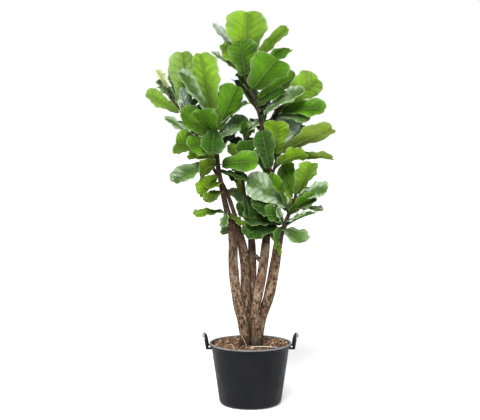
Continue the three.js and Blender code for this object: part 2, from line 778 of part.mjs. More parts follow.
const plant = new THREE.Group();
plant.add(meshOf("pot", pot(), POT_PLASTIC, 0.45));
plant.add(meshOf("handle_left", handle(-1), POT_PLASTIC, 0.4));
plant.add(meshOf("handle_right", handle(1), POT_PLASTIC, 0.4));
plant.add(meshOf("soil", soil(), SOIL_BROWN, 0.95));
plant.add(meshOf("plant_label", label(), LABEL_CREAM, 0.5));
plant.add(meshOf("straw", straw(), BARK, 0.85));
for (const stem of STEMS) {
  plant.add(meshOf(`trunk_${stem.name}`, trunk(stem), BARK, 0.85));
  plant.add(meshOf(`crown_${stem.name}`, crown(stem), LEAF_GREEN, 0.45));
}

export default plant;
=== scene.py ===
"""Potted fiddle leaf fig: the finished look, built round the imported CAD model. Metres, +Z up.

Sizes named below are in millimetres, as in the part's source, until a mesh is made from them.
"""
import math

import bpy
import numpy as np
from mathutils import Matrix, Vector, noise


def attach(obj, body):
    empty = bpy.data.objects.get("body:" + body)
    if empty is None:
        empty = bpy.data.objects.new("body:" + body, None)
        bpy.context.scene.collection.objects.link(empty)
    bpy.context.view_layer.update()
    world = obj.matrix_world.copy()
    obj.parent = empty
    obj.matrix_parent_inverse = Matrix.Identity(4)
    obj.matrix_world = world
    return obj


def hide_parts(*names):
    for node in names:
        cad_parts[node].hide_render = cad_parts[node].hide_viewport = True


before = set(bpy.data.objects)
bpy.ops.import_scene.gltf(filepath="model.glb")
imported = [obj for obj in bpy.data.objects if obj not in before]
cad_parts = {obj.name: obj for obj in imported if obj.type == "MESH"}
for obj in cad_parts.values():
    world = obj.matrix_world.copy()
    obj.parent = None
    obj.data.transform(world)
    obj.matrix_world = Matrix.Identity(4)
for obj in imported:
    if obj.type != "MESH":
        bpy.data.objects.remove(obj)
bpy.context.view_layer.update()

MM = 0.001
TURN = 2 * math.pi
GOLDEN_TURN = 137.5 # from one leaf to the next round a limb, in degrees

# ---- Sizes shared with the part's source ----

# The container
POT_HEIGHT = 379
POT_UNDERSIDE_RADIUS = 156
POT_FOOT_RADIUS = 191 # where the rounded foot meets the wall
POT_FOOT_HEIGHT = 28
POT_TOP_RADIUS = 238 # of the wall, just under the rim
POT_WALL = 3.5
RIM_RADIUS = 250
RIM_DEPTH = 20
RIM_INNER_RADIUS = 240
RIM_ROUND = 5
RIM_FOOT_HEIGHT = POT_HEIGHT - RIM_DEPTH

# The soil
SOIL_EDGE_HEIGHT = 364
SOIL_CROWN = 7 # how much higher it stands round the stems
SOIL_LUMP = 1.6

# The two clip-on handles
HANDLE_HALF_SPAN = 55
HANDLE_BAR_RADIUS = 9
HANDLE_BAR_HALF_WIDTH = 6
HANDLE_FOOT_X = 261
HANDLE_TOP_X = 277
HANDLE_TOP_HEIGHT = 424
HANDLE_CORNER = 24 # how much shorter the level top is than the span, at each end
GRIP_HALF_LENGTH = 38
GRIP_RADIUS = 12 # of the curled lip along the top
GRIP_WALL = 4
LUG_HEIGHT = 11 # of the foot that hooks under the rim
LUG_HALF_WIDTH = 9

# The label, which lies on the soil
LABEL_START = (-5, -124)
LABEL_LENGTH = 165
LABEL_TAG_LENGTH = 34
LABEL_WIDTH = 13
LABEL_TAG_WIDTH = 26
LABEL_SHOULDER = 6 # how long the widening from strip to tag is
LABEL_THICKNESS = 1.5
LABEL_TURN = -3 # degrees from +X

# Leaves and bark
PETIOLE_SHARE = 0.12 # of a leaf's whole length
PETIOLE_RADIUS = 3.6
BLADE_THICKNESS = 1.3
BLADE_FOLD = 0.22 # how far each half lifts from the midrib, per unit of its width
BLADE_WAVE = 7
BLADE_WAVES = 2.3 # along one margin
MARGIN_STEP = 1.3 # how far each margin's waves are shifted, in radians
LEAF_STEP = 2.4 # from one leaf's waves to the next leaf's, in radians
BARK_LUMP = 0.035 # of the radius

# A dry leaf stalk that stands in the soil: x, y, z and radius
STRAW_ROUTE = [(-20, -84, 350, 2), (-30, -82, 388, 2), (-44, -80, 416, 1.8), (-62, -76, 447, 1.4)]

# The stems, in the rows of the part's source. Helper scripts worked most of these numbers and
# kinds out from places and colours read off the photo, which the report describes.
# Route: x, y, z and radius. Leaves begin at its row number leafy_from.
# Leaves: kind of green, place up the leafy part, azimuth, rise, droop, roll, length, width and,
# where it differs, fold. Angles are in degrees.
# Behind, leaves placed by a rule: how many, first and last place up the leafy part, azimuth and
# length. Stubs: place up the bare trunk, azimuth, rise, length and radius.
STEMS = {}
STEMS["left"] = {
    "leafy_from": 9,
    "route": [
        (-28, -34, 210, 30), (-29, -34, 375, 31), (-37, -35, 460, 32), (-50, -35, 535, 33.5),
        (-67, -34, 595, 33), (-84, -33, 685, 31), (-98, -31, 780, 29.5), (-105, -29, 890, 29),
        (-106, -25, 1000, 27), (-120, -17, 1105, 22), (-141, -13, 1185, 18.5),
        (-161, -11, 1270, 16), (-180, -10, 1365, 15.5), (-196, -8, 1455, 15), (-204, -4, 1540, 14),
        (-211, 0, 1620, 11), (-215, 2, 1685, 8), (-220, 4, 1745, 5),
    ],
    "leaves": [
        ("grey", 0.04, 109, -47, 30, -10, 140, 70), ("bright", 0.12, 208, -4, 10, -15, 220, 120),
        ("moss", 0.29, 242, -15, 50, -15, 200, 90), ("olive", 0.41, 231, -27, 50, 90, 220, 110),
        ("deep", 0.45, 335, -14, 30, 20, 200, 80), ("grey", 0.51, 218, -16, 40, -25, 345, 140),
        ("moss", 0.51, 240, -17, 50, 75, 220, 150), ("fresh", 0.51, 340, 5, 15, 65, 260, 140),
        ("olive", 0.56, 218, 9, 20, 55, 220, 80), ("fresh", 0.67, 230, 0, 30, -50, 240, 150),
        ("fresh", 0.7, 205, 40, 10, -55, 300, 190), ("grey", 0.74, 29, 26, 15, 35, 260, 135),
        ("fresh", 0.76, 135, 45, 10, 80, 250, 130), ("fresh", 0.78, 245, 40, 0, 10, 250, 150),
        ("mid", 0.84, 265, -35, 40, -15, 230, 150), ("frost", 0.88, 18, 35, 10, 10, 260, 110),
        ("frost", 0.93, 190, 55, 10, -35, 380, 180), ("fresh", 0.79, 346, 65, 5, -55, 325, 170, 0.5),
        ("bright", 0.98, 216, 76, 0, 20, 410, 190), ("fresh", 0.81, 50, 40, 10, 0, 190, 100),
        ("deep", 0.47, 25, -35, 30, 40, 150, 70), ("moss", 0.36, 240, -10, 40, -10, 150, 95),
        ("grey", 0.12, 261, -37, 40, 30, 140, 70), ("mid", 0.65, 120, 30, 10, -5, 190, 120),
        ("moss", 0.11, 320, -30, 15, 5, 150, 70),
    ],
    "behind": (4, 0.6, 0.95, 108, 230),
}
STEMS["centre_left"] = {
    "leafy_from": 8,
    "route": [
        (-3, 27, 195, 24), (-4, 27, 365, 25), (-9, 22, 500, 26), (-21, 18, 620, 27.5),
        (-30, 15, 735, 29.5), (-33, 19, 860, 29.5), (-50, 26, 970, 28), (-73, 34, 1060, 24),
        (-102, 40, 1175, 13.5), (-152, 48, 1310, 11), (-237, 52, 1460, 10), (-309, 46, 1600, 9),
        (-363, 34, 1710, 8), (-416, 26, 1785, 7), (-464, 24, 1845, 5.5), (-499, 22, 1920, 4),
    ],
    "leaves": [
        ("bright", 0.39, 229, 8, 20, 65, 240, 165), ("frost", 0.42, 160, 32, 10, 35, 275, 115),
        ("white", 0.55, 230, 65, 10, -75, 250, 110), ("lime", 0.65, 209, 87, 5, 80, 390, 180),
        ("bright", 0.69, 165, 27, -15, 50, 265, 140), ("frost", 0.74, 115, 60, 5, 30, 240, 110),
        ("grey", 0.89, 180, 50, 5, -35, 140, 60), ("pale", 0.98, 220, 55, 10, 15, 150, 60),
        ("grey", 0.82, 180, 50, 5, -25, 170, 70), ("frost", 0.77, 180, 75, 5, -25, 200, 90),
        ("white", 0.52, 230, 50, 5, -60, 220, 100),
    ],
    "behind": (4, 0.3, 0.8, 120, 220),
}
STEMS["centre"] = {
    "leafy_from": 6,
    "route": [
        (26, 66, 190, 21), (25, 66, 360, 22), (20, 63, 520, 24), (14, 61, 695, 25),
        (11, 56, 855, 25.5), (8, 50, 980, 23), (0, 42, 1075, 18), (-18, 36, 1185, 13.5),
        (-40, 36, 1310, 10.5), (-46, 38, 1420, 9.5), (-37, 44, 1520, 8), (-22, 48, 1625, 6),
        (-19, 50, 1670, 4),
    ],
    "leaves": [
        ("grey", 0.18, 138, 36, 15, -5, 190, 130), ("moss", 0.23, 120, 45, 10, 90, 180, 90),
        ("deep", 0.28, 280, -40, 60, -35, 200, 110), ("mid", 0.54, 280, 50, 10, 5, 220, 120),
        ("mid", 0.67, 125, 35, 15, -5, 170, 100), ("fresh", 0.84, 305, 35, 10, -15, 80, 40),
        ("silver", 0.96, 25, 35, 10, 45, 120, 50), ("moss", 0.46, 180, 65, 10, -35, 210, 110),
        ("mid", 0.8, 245, 55, 10, -105, 130, 80), ("deep", 0.8, 55, 50, 10, -10, 110, 60),
        ("deep", 0.04, 226, 43, 20, -70, 170, 100),
    ],
    "behind": (3, 0.2, 0.65, 110, 210),
}
STEMS["centre_right"] = {
    "leafy_from": 7,
    "route": [
        (37, -43, 210, 29), (37, -43, 375, 30), (33, -43, 475, 30), (30, -40, 575, 29),
        (43, -34, 665, 30), (63, -26, 765, 29.5), (79, -18, 875, 28), (93, -10, 990, 25.5),
        (105, -4, 1120, 18), (115, 2, 1250, 15), (118, 8, 1370, 13.5), (112, 12, 1480, 11.5),
        (93, 14, 1595, 10), (67, 14, 1695, 9.5), (46, 13, 1780, 9), (15, 10, 1865, 8.5),
        (-16, 8, 1930, 7.5), (-33, 6, 1990, 6), (-36, 6, 2055, 4.5),
    ],
    "stubs": [(0.27, 290, 35, 50, 13), (0.84, 185, 50, 74, 12)],
    "leaves": [
        ("mid", 0.31, 240, 68, 10, -150, 280, 130), ("frost", 0.6, 345, 30, 20, 35, 320, 150),
        ("mid", 0.67, 5, 30, 10, 35, 200, 110), ("mid", 0.63, 140, 45, 10, 10, 280, 130),
        ("fresh", 0.7, 15, 30, 10, -50, 300, 160), ("fresh", 0.77, 303, 35, 5, -35, 340, 240),
        ("fresh", 0.89, 15, 32, 5, 20, 335, 140), ("fresh", 0.89, 249, 68, 0, -135, 250, 190),
        ("bright", 0.91, 180, 55, 5, -50, 240, 120), ("bright", 0.95, 354, 45, 3, -25, 370, 140),
        ("white", 0.97, 142, 50, 0, 5, 370, 125), ("bright", 0.98, 277, 74, -5, -5, 350, 250),
        ("frost", 0.92, 199, 33, 0, -25, 250, 80), ("grey", 0.63, 115, 65, 5, 35, 180, 100),
        ("deep", 0.27, 145, 63, 10, -15, 210, 140), ("deep", 0.54, 70, 50, 10, -30, 180, 100),
        ("moss", 0.06, 310, -52, 30, -90, 190, 50),
    ],
    "behind": (5, 0.35, 0.9, 100, 240),
    "twigs": [
        {
            "route": [
                (115, 6, 1325, 9), (130, -2, 1395, 9.5), (150, 0, 1470, 8.5), (160, 6, 1540, 5),
            ],
            "leaves": [
                ("olive", 0.6, 320, 20, 20, -35, 250, 130), ("gold", 0.69, 343, 5, 20, -20, 360, 155),
                ("olive", 0.83, 268, 57, 5, -10, 270, 160), ("gold", 0.89, 336, 25, 12, -35, 400, 165),
                ("bright", 0.92, 10, 15, 20, 25, 160, 70), ("white", 0.94, 55, 60, 5, 20, 280, 210),
                ("frost", 0.83, 15, 50, 10, 25, 260, 160),
            ],
            "behind": (2, 0.5, 0.8, 70, 200),
        },
        {
            "route": [
                (90, 14, 1610, 9), (115, 30, 1680, 9), (145, 44, 1745, 7.5), (170, 50, 1810, 5),
            ],
            "leaves": [
                ("grey", 0.66, 330, -5, 40, 25, 230, 120), ("fresh", 0.84, 338, 3, 20, 45, 310, 145),
                ("bright", 0.97, 344, 35, 5, -60, 305, 185), ("frost", 0.18, 45, 50, 10, -15, 230, 100),
            ],
            "behind": (1, 0.7, 0.9, 80, 220),
        },
    ],
}
STEMS["right"] = {
    "leafy_from": 7,
    "route": [
        (49, 19, 200, 25), (49, 19, 365, 26), (60, 17, 480, 27.5), (84, 14, 575, 30),
        (110, 9, 655, 32), (133, 4, 765, 32), (151, -2, 875, 31), (167, -8, 985, 27),
        (182, -12, 1040, 19), (205, -14, 1095, 15), (226, -14, 1155, 12.5), (250, -12, 1215, 10.5),
        (271, -8, 1275, 8.5), (283, -4, 1330, 5),
    ],
    "leaves": [
        ("deep", 0.25, 205, -5, 50, -45, 260, 140), ("mid", 0.25, 256, -20, 60, 95, 190, 100),
        ("grey", 0.28, 294, -13, 35, 10, 265, 140), ("silver", 0.39, 312, 21, 10, 25, 170, 90),
        ("deep", 0.35, 200, 10, 30, -45, 270, 140), ("deep", 0.42, 210, 25, 20, -50, 270, 140),
        ("fresh", 0.52, 320, 35, 15, -15, 240, 110), ("silver", 0.56, 125, 15, 20, -10, 180, 100),
        ("silver", 0.6, 335, 0, 30, 15, 210, 90), ("frost", 0.62, 192, 30, 30, -65, 325, 190),
        ("frost", 0.79, 324, 15, 20, 45, 245, 140), ("bright", 0.8, 313, 57, 0, -15, 265, 150),
        ("fresh", 0.83, 119, 45, 5, 105, 250, 160), ("fresh", 0.56, 200, 60, 20, -45, 270, 120),
        ("grey", 0.49, 335, 30, 15, 35, 220, 100), ("mid", 0.34, 225, 30, 30, -70, 200, 110),
        ("bright", 0.62, 110, 50, 10, 30, 170, 90), ("silver", 0.3, 238, 54, 20, -80, 150, 80),
    ],
    "behind": (4, 0.3, 0.9, 60, 220),
}

# ---- Helpers ----

rng = np.random.default_rng(12)


def show(name, data):
    """A new object in the scene, from its mesh, camera or light data."""
    thing = bpy.data.objects.new(name, data)
    bpy.context.scene.collection.objects.link(thing)
    return thing


def build(name, points, faces, materials, kinds=None, attributes=None, sharp_above=50):
    """An object from points in millimetres. kinds gives each face's place in materials."""
    mesh = bpy.data.meshes.new(name)
    corners = (np.asarray(points, dtype=float) * MM).tolist()
    mesh.from_pydata(corners, [], [[int(i) for i in face] for face in faces])
    for material in materials:
        mesh.materials.append(material)
    if kinds is not None:
        mesh.polygons.foreach_set("material_index", np.asarray(kinds, dtype=np.int32))
    for key, values in (attributes or {}).items():
        layer = mesh.attributes.new(key, "FLOAT_VECTOR", "POINT")
        layer.data.foreach_set("vector", np.asarray(values, dtype=np.float32).ravel())
    mesh.polygons.foreach_set("use_smooth", np.ones(len(mesh.polygons), dtype=bool))
    mesh.set_sharp_from_angle(angle=math.radians(sharp_above))
    return show(name, mesh)


class Pile:
    """Points and faces gathered from many small shapes into one mesh."""

    def __init__(self, *names):
        """names are the points' attributes, which are 0 where a shape leaves them out."""
        self.points, self.faces, self.kinds = [], [], []
        self.values = {name: [] for name in names}
        self.count = 0

    def add(self, points, faces, kind=0, **values):
        self.points.append(np.asarray(points, dtype=float))
        self.faces += [[i + self.count for i in face] for face in faces]
        self.kinds += [kind] * len(faces) if np.isscalar(kind) else list(kind)
        for name, rows in self.values.items():
            value = np.asarray(values.get(name, 0), dtype=float)
            rows.append(np.broadcast_to(value, (len(points), 3)))
        self.count += len(points)

    def object(self, name, materials, sharp_above=50):
        values = {key: np.concatenate(rows) for key, rows in self.values.items()}
        points = np.concatenate(self.points)
        return build(name, points, self.faces, materials, self.kinds, values, sharp_above)


def grid(rows, columns, wrap=False, flip=False, start=0):
    """Quads over rows of points, closed across each row where wrap is true."""
    faces = []
    for row in range(rows - 1):
        for column in range(columns if wrap else columns - 1):
            here = start + row * columns + column
            beside = start + row * columns + (column + 1) % columns
            face = [here, beside, beside + columns, here + columns]
            faces.append(face[::-1] if flip else face)
    return faces


def tube(rings):
    """A closed tube over rings of points, each right-handed about the way forward."""
    rings = np.asarray(rings)
    count, sides = rings.shape[:2]
    last = (count - 1) * sides
    ends = [list(range(sides))[::-1], [last + i for i in range(sides)]]
    return rings.reshape(-1, 3), grid(count, sides, wrap=True) + ends


def around(sides):
    """Angles evenly spaced round a turn."""
    return np.arange(sides) * TURN / sides


def lathe(profile, sides):
    """A solid of revolution from (radius, height) rows, closed flat at the first and the last."""
    turns = [(math.cos(angle), math.sin(angle)) for angle in around(sides)]
    return tube([[(radius * x, radius * y, z) for x, y in turns] for radius, z in profile])


def smooth_line(rows, places):
    """Rows of numbers at places from 0 to 1, on a uniform Catmull-Rom curve through them."""
    rows = np.asarray(rows, dtype=float)
    last = len(rows) - 1
    padded = np.vstack([2 * rows[0] - rows[1], rows, 2 * rows[-1] - rows[-2]])
    along = np.clip(np.asarray(places, dtype=float), 0, 1) * last
    index = np.minimum(along.astype(int), last - 1)
    share = (along - index)[:, None]
    before, start, end, after = (padded[index + k] for k in range(4))
    leave, arrive = (end - before) / 2, (after - start) / 2
    return (
        (2 * start - 2 * end + leave + arrive) * share**3
        + (3 * end - 3 * start - 2 * leave - arrive) * share**2
        + leave * share
        + start
    )


def middle_line(route, places):
    """Points at places from 0 to 1 along the middle of a limb's route."""
    return smooth_line([row[:3] for row in route], places)


def unit(vectors):
    return vectors / np.linalg.norm(vectors, axis=-1, keepdims=True)


def ripple(point, size, seed=0.0):
    """Smooth noise from -1 to 1 at a point, with features of about the given size."""
    return noise.noise(Vector(point) / size + Vector((seed, 0, 0)))


def finish_piece(piece, slot, *nodes):
    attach(piece, "root")
    if nodes:
        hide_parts(*nodes)


# ---- Materials ----


class Shader:
    """A Principled material, with short calls for the nodes that feed it."""

    def __init__(self, name, **inputs):
        self.material = bpy.data.materials.new(name)
        self.material.use_nodes = True
        self.nodes = self.material.node_tree.nodes
        for key, value in inputs.items():
            self.set(key.replace("_", " "), value)

    def feed(self, socket, value):
        """Links a socket to a node's output, or sets its number or colour, unless it's None."""
        if isinstance(value, bpy.types.NodeSocket):
            self.material.node_tree.links.new(value, socket)
        elif value is not None:
            socket.default_value = value

    def set(self, key, value):
        self.feed(self.nodes["Principled BSDF"].inputs[key], value)

    def node(self, kind, *values, output=0, **settings):
        """An output of a new node, whose first inputs are fed in order."""
        node = self.nodes.new("ShaderNode" + kind)
        for key, value in settings.items():
            setattr(node, key, value)
        for socket, value in zip(node.inputs, values):
            self.feed(socket, value)
        return node.outputs[output]

    def math(self, operation, *values):
        return self.node("Math", *values, operation=operation)

    def ramp(self, value, low, high, bottom=0.0, top=1.0):
        """Runs smoothly from bottom to top as a value runs from low to high."""
        return self.node("MapRange", value, low, high, bottom, top, interpolation_type="SMOOTHSTEP")

    def mix(self, share, first, second):
        unused = [None] * 5
        return self.node("Mix", share, *unused, first, second, output=2, data_type="RGBA")

    def paint(self, base, colour, value, *spread):
        """A base colour, covered by another as a value ramps up."""
        return self.mix(self.ramp(value, *spread), base, colour)

    def stretch(self, vector, scale):
        return self.node("Mapping", vector, None, None, scale)

    def place(self, scale=(1, 1, 1)):
        """Coordinates in metres on the part, stretched by a scale."""
        return self.stretch(self.node("TexCoord", output="Object"), scale)

    def split(self, vector):
        return self.node("SeparateXYZ", vector).node.outputs

    def noise(self, vector, scale, detail=3.0, roughness=0.55):
        return self.node("TexNoise", vector, None, scale, detail, roughness)

    def cells(self, vector, scale, feature="DISTANCE_TO_EDGE", output=0):
        return self.node("TexVoronoi", vector, None, scale, output=output, feature=feature)

    def attribute(self, name):
        """A mesh attribute as a vector or colour, and its three numbers."""
        vector = self.node("Attribute", output="Vector", attribute_name=name)
        return vector, self.split(vector)

    def bump(self, height, distance):
        node = self.node("Bump", None, distance).node
        self.feed(node.inputs["Height"], height)
        self.set("Normal", node.outputs[0])

    def painted(self, colour):
        """The finished material, in a colour."""
        self.set("Base Color", colour)
        return self.material


# Colours for painted shade, for the painted whitish sheen, and for the pale veins
LEAF_SHADE = (0.006, 0.022, 0.003, 1)
LEAF_PAINTED_SHEEN = (0.480, 0.580, 0.430, 1)
LEAF_VEIN = (0.380, 0.520, 0.140, 1)


def leaf_material(name, vein_share, roughness, specular, patchy, vein_height):
    """A leaf's face: its own green, paler veins, a pale margin, painted shade, a painted whitish sheen.
    """
    look = Shader(name, Roughness=roughness, Specular_IOR_Level=specular)
    _, (veins, off, along) = look.attribute("leaf_place")
    green, _ = look.attribute("leaf_green")
    _, (share, sheen, _) = look.attribute("leaf_edge")
    here = look.place()
    # Painted shade: darker patches, and darker towards the stalk and towards the midrib
    patches = look.ramp(look.noise(here, 11.0, detail=4.0), 0.38, 0.62, 0.0, patchy)
    base = look.mix(patches, green, look.mix(0.7, green, LEAF_SHADE))
    base = look.paint(base, LEAF_SHADE, along, 0.1, 0.6, 0.5, 0.0)
    # A faint painted sheen towards the margins
    outer = look.math("ADD", share, look.math("MULTIPLY_ADD", look.noise(here, 22.0), 1.2, -0.6))
    base = look.paint(base, LEAF_PAINTED_SHEEN, outer, 0.55, 1.0, 0.0, 0.08)
    base = look.paint(base, LEAF_SHADE, outer, 0.0, 0.45, 0.45, 0.0)
    # Painted sheen, whitish, in patches between the side veins and mostly towards the margins
    zones = look.math("ADD", look.noise(here, 13.0, detail=2.0), look.math("MULTIPLY", share, 0.42))
    zones = look.ramp(zones, 0.58, 0.86, 0.04, 0.95)
    between = look.ramp(look.math("PINGPONG", veins, 0.5), 0.03, 0.30, 0.7, 1.0)
    shine = look.math("MULTIPLY", look.math("MULTIPLY", zones, between), sheen)
    base = look.mix(shine, base, LEAF_PAINTED_SHEEN)
    # The midrib, the side veins and a fine net between them
    midrib_line = look.ramp(off, 0.14, 0.32, 1.0, 0.0)
    side_line = look.ramp(look.math("PINGPONG", veins, 0.5), 0.015, 0.07, 1.0, 0.0)
    side_line = look.math("MULTIPLY", side_line, look.ramp(off, 2.0, 9.0, 0.8, 0.3))
    net = look.ramp(look.cells(here, 90.0), 0.0, 0.12, 0.2, 0.0)
    lines = look.math("MAXIMUM", midrib_line, side_line)
    shown = look.math("MULTIPLY", look.math("MAXIMUM", lines, net), vein_share)
    base = look.mix(shown, base, look.mix(0.5, base, LEAF_VEIN))
    base = look.paint(base, LEAF_VEIN, share, 0.93, 0.97, 0.0, 0.5)
    height = look.math("MULTIPLY", look.math("MAXIMUM", lines, net), vein_height)
    look.bump(look.math("ADD", height, look.noise(here, 30.0, detail=4.0)), 0.007)
    return look.painted(base)


LEAF_UPPER = leaf_material("leaf_upper", 0.6, 0.4, 0.15, 0.85, -0.8)
LEAF_GLOSSY = leaf_material("leaf_glossy", 0.6, 0.32, 0.45, 0.85, -0.8)
LEAF_UNDER = leaf_material("leaf_under", 0.5, 0.6, 0.12, 0.35, 0.9)


def bark_material():
    """Brown bark: patches of wear, dark streaks, knots, ring scars; painted shade near crown and soil."""
    look = Shader("bark", Roughness=0.9, Specular_IOR_Level=0.15)
    straight, _ = look.attribute("bark_place")
    _, (age, low, _) = look.attribute("bark_age")
    long_ways = look.stretch(straight, (1, 1, 0.45))
    cross_ways = look.stretch(straight, (0.3, 0.3, 1))
    streaks = look.noise(long_ways, 0.075, detail=5.0, roughness=0.7)
    scars = look.noise(cross_ways, 0.10)
    patches = look.noise(long_ways, 0.032)
    reddish = look.noise(straight, 0.014, detail=2.0)
    knots = look.cells(long_ways, 0.040, feature="F1")
    specks = look.noise(straight, 0.11, detail=2.0)
    height = look.split(look.place())[2]
    base = look.paint((0.036, 0.021, 0.012, 1), (0.235, 0.155, 0.096, 1), streaks, 0.42, 0.58)
    for colour, *spread in (
        ((0.120, 0.052, 0.033, 1), reddish, 0.42, 0.62, 0.0, 0.55),
        ((0.370, 0.280, 0.190, 1), patches, 0.50, 0.64, 0.0, 0.55),
        ((0.032, 0.019, 0.012, 1), scars, 0.56, 0.63, 0.0, 0.7),
        ((0.016, 0.009, 0.006, 1), specks, 0.62, 0.68, 0.0, 0.8),
        ((0.013, 0.008, 0.006, 1), knots, 0.13, 0.27, 0.95, 0.0),
        # Painted shade under the crown
        ((0.026, 0.017, 0.009, 1), height, 0.70, 1.05, 0.0, 0.5),
        # Darker near the soil: partly the bark's own darker foot, partly painted shade
        ((0.020, 0.013, 0.009, 1), low, 0.08, 0.8, 0.0, 0.85),
    ):
        base = look.paint(base, colour, *spread)
    young = look.paint((0.010, 0.006, 0.004, 1), (0.060, 0.034, 0.020, 1), streaks, 0.4, 0.6)
    base = look.mix(age, base, young)
    look.bump(look.math("ADD", streaks, look.math("MULTIPLY", scars, 0.8)), 0.008)
    return look.painted(base)


BARK = bark_material()


def plastic_material(name, roughness, pale_above, pale_beyond, pale_grey):
    """Dark plastic, pale above a height and beyond a distance from the pot's middle: dust and painted
    highlight.
    """
    look = Shader(name, Roughness=roughness, Specular_IOR_Level=0.14)
    here = look.place()
    scuffs = look.noise(look.place((1, 1, 0.35)), 34.0, detail=4.0)
    clouds = look.noise(here, 7.0)
    dark, pale = (0.0036, 0.0038, 0.0064, 1), (0.0058, 0.0059, 0.0086, 1)
    base = look.paint(dark, pale, clouds, 0.3, 0.7)
    base = look.paint(base, (0.04, 0.04, 0.045, 1), scuffs, 0.62, 0.78, 0.0, 0.3)
    x, _, z = look.split(here)
    # The pale band: dust and painted highlight on the rim, painted highlight on the handles' grips
    dust_and_highlight = look.ramp(look.math("ABSOLUTE", x), (pale_beyond - 3) * MM, (pale_beyond + 3) * MM)
    high = look.ramp(z, (pale_above - 3) * MM, (pale_above + 3) * MM)
    dust_and_highlight = look.math("MULTIPLY", dust_and_highlight, high)
    dust_and_highlight = look.math("MULTIPLY", dust_and_highlight, look.ramp(scuffs, 0.3, 0.6, 0.7, 1.0))
    base = look.mix(dust_and_highlight, base, (pale_grey, pale_grey, pale_grey, 1))
    look.set("Roughness", look.ramp(scuffs, 0.3, 0.75, roughness - 0.08, roughness + 0.12))
    look.bump(look.noise(here, 420.0, detail=2.0), 0.0004)
    return look.painted(base)


# Pale bands: dust and painted highlight round the pot's rim, painted highlight on the grips' outer curls.
EVERYWHERE = -9
POT_PLASTIC = plastic_material("pot_plastic", 0.5, POT_HEIGHT - 6, EVERYWHERE, 0.21)
HANDLE_PLASTIC = plastic_material(
    "handle_plastic", 0.42, HANDLE_TOP_HEIGHT - 16, HANDLE_TOP_X + 1, 0.36
)


def soil_material():
    """Dark potting mix with coloured grains and deep gaps."""
    look = Shader("potting_mix", Roughness=0.95, Specular_IOR_Level=0.1)
    here = look.place()
    tint = look.split(look.cells(here, 130.0, feature="F1", output=1))[0]
    base = look.mix(tint, (0.030, 0.014, 0.009, 1), (0.190, 0.095, 0.055, 1))
    clouds = look.noise(here, 60.0, detail=5.0)
    base = look.paint((0.012, 0.007, 0.005, 1), base, clouds, 0.44, 0.62)
    look.bump(look.math("ADD", clouds, look.cells(here, 130.0)), 0.006)
    return look.painted(base)


def chip_material():
    """Flakes of bark in their own colours, with a dark grain."""
    look = Shader("bark_chips", Roughness=0.85, Specular_IOR_Level=0.25)
    colour, _ = look.attribute("chip_colour")
    grain = look.noise(look.place((1, 1, 3)), 240.0, detail=4.0)
    base = look.paint(colour, (0.06, 0.032, 0.02, 1), grain, 0.35, 0.7, 0.0, 0.55)
    look.bump(grain, 0.0015)
    return look.painted(base)


def label_material():
    """A cream strip that turns to a bluish tag, with a little soil on it."""
    look = Shader("label_plastic", Roughness=0.45)
    here = look.place()
    along = look.split(here)[0]
    tag_start = LABEL_START[0] + LABEL_LENGTH - LABEL_TAG_LENGTH
    tag = look.ramp(along, tag_start * MM, (tag_start + LABEL_SHOULDER) * MM)
    base = look.mix(tag, (0.86, 0.80, 0.68, 1), (0.34, 0.34, 0.46, 1))
    dirt = look.noise(here, 90.0)
    return look.painted(look.paint(base, (0.4, 0.3, 0.2, 1), dirt, 0.55, 0.75, 0.0, 0.35))


def straw_material():
    """Dry stalk, streaked along its length."""
    look = Shader("straw", Roughness=0.8, Specular_IOR_Level=0.2)
    streaks = look.noise(look.place((1, 1, 0.2)), 400.0)
    brown, cream = (0.30, 0.18, 0.08, 1), (0.62, 0.46, 0.26, 1)
    return look.painted(look.paint(brown, cream, streaks, 0.35, 0.65))


STRAW = straw_material()
SOIL = soil_material()
CHIPS = chip_material()
LABEL = label_material()

# ---- Limbs ----

# What each point of the plant carries for its materials. bark_place: where it would be on a
# straight limb. bark_age: how young its bark is, and how near the soil. leaf_place: its count of
# side veins, centimetres from the midrib and share of the blade's length. leaf_green: a colour.
# leaf_edge: its share of the way out to the margin, and how much painted whitish sheen it gets.
PLANT_VALUES = ("bark_place", "bark_age", "leaf_place", "leaf_green", "leaf_edge")

RING_SCAR_TURN = 0.26 # radians of the ring scars' wave in each millimetre
RING_SCAR_HEIGHT = 0.8
FLARE_HEIGHT = 70 # over which a trunk's foot narrows
STUB_SIDES = 14
STUB_PROFILE = [(0, 1.3), (0.4, 1.1), (0.75, 1.02), (0.92, 1.0), (0.99, 0.82), (1.0, 0.5)]


def limb_frames(route, places):
    """Middles, two directions across and radii along a limb, as the part's source has them."""
    middles = middle_line(route, places)
    step = 1e-4
    ahead = middle_line(route, np.minimum(places + step, 1))
    behind = middle_line(route, np.maximum(places - step, 0))
    forward = unit(ahead - behind)
    across = unit(np.cross((0, 1, 0), forward))
    back = np.cross(forward, across)
    radii = np.interp(places * (len(route) - 1), range(len(route)), [row[3] for row in route])
    return middles, across, back, radii


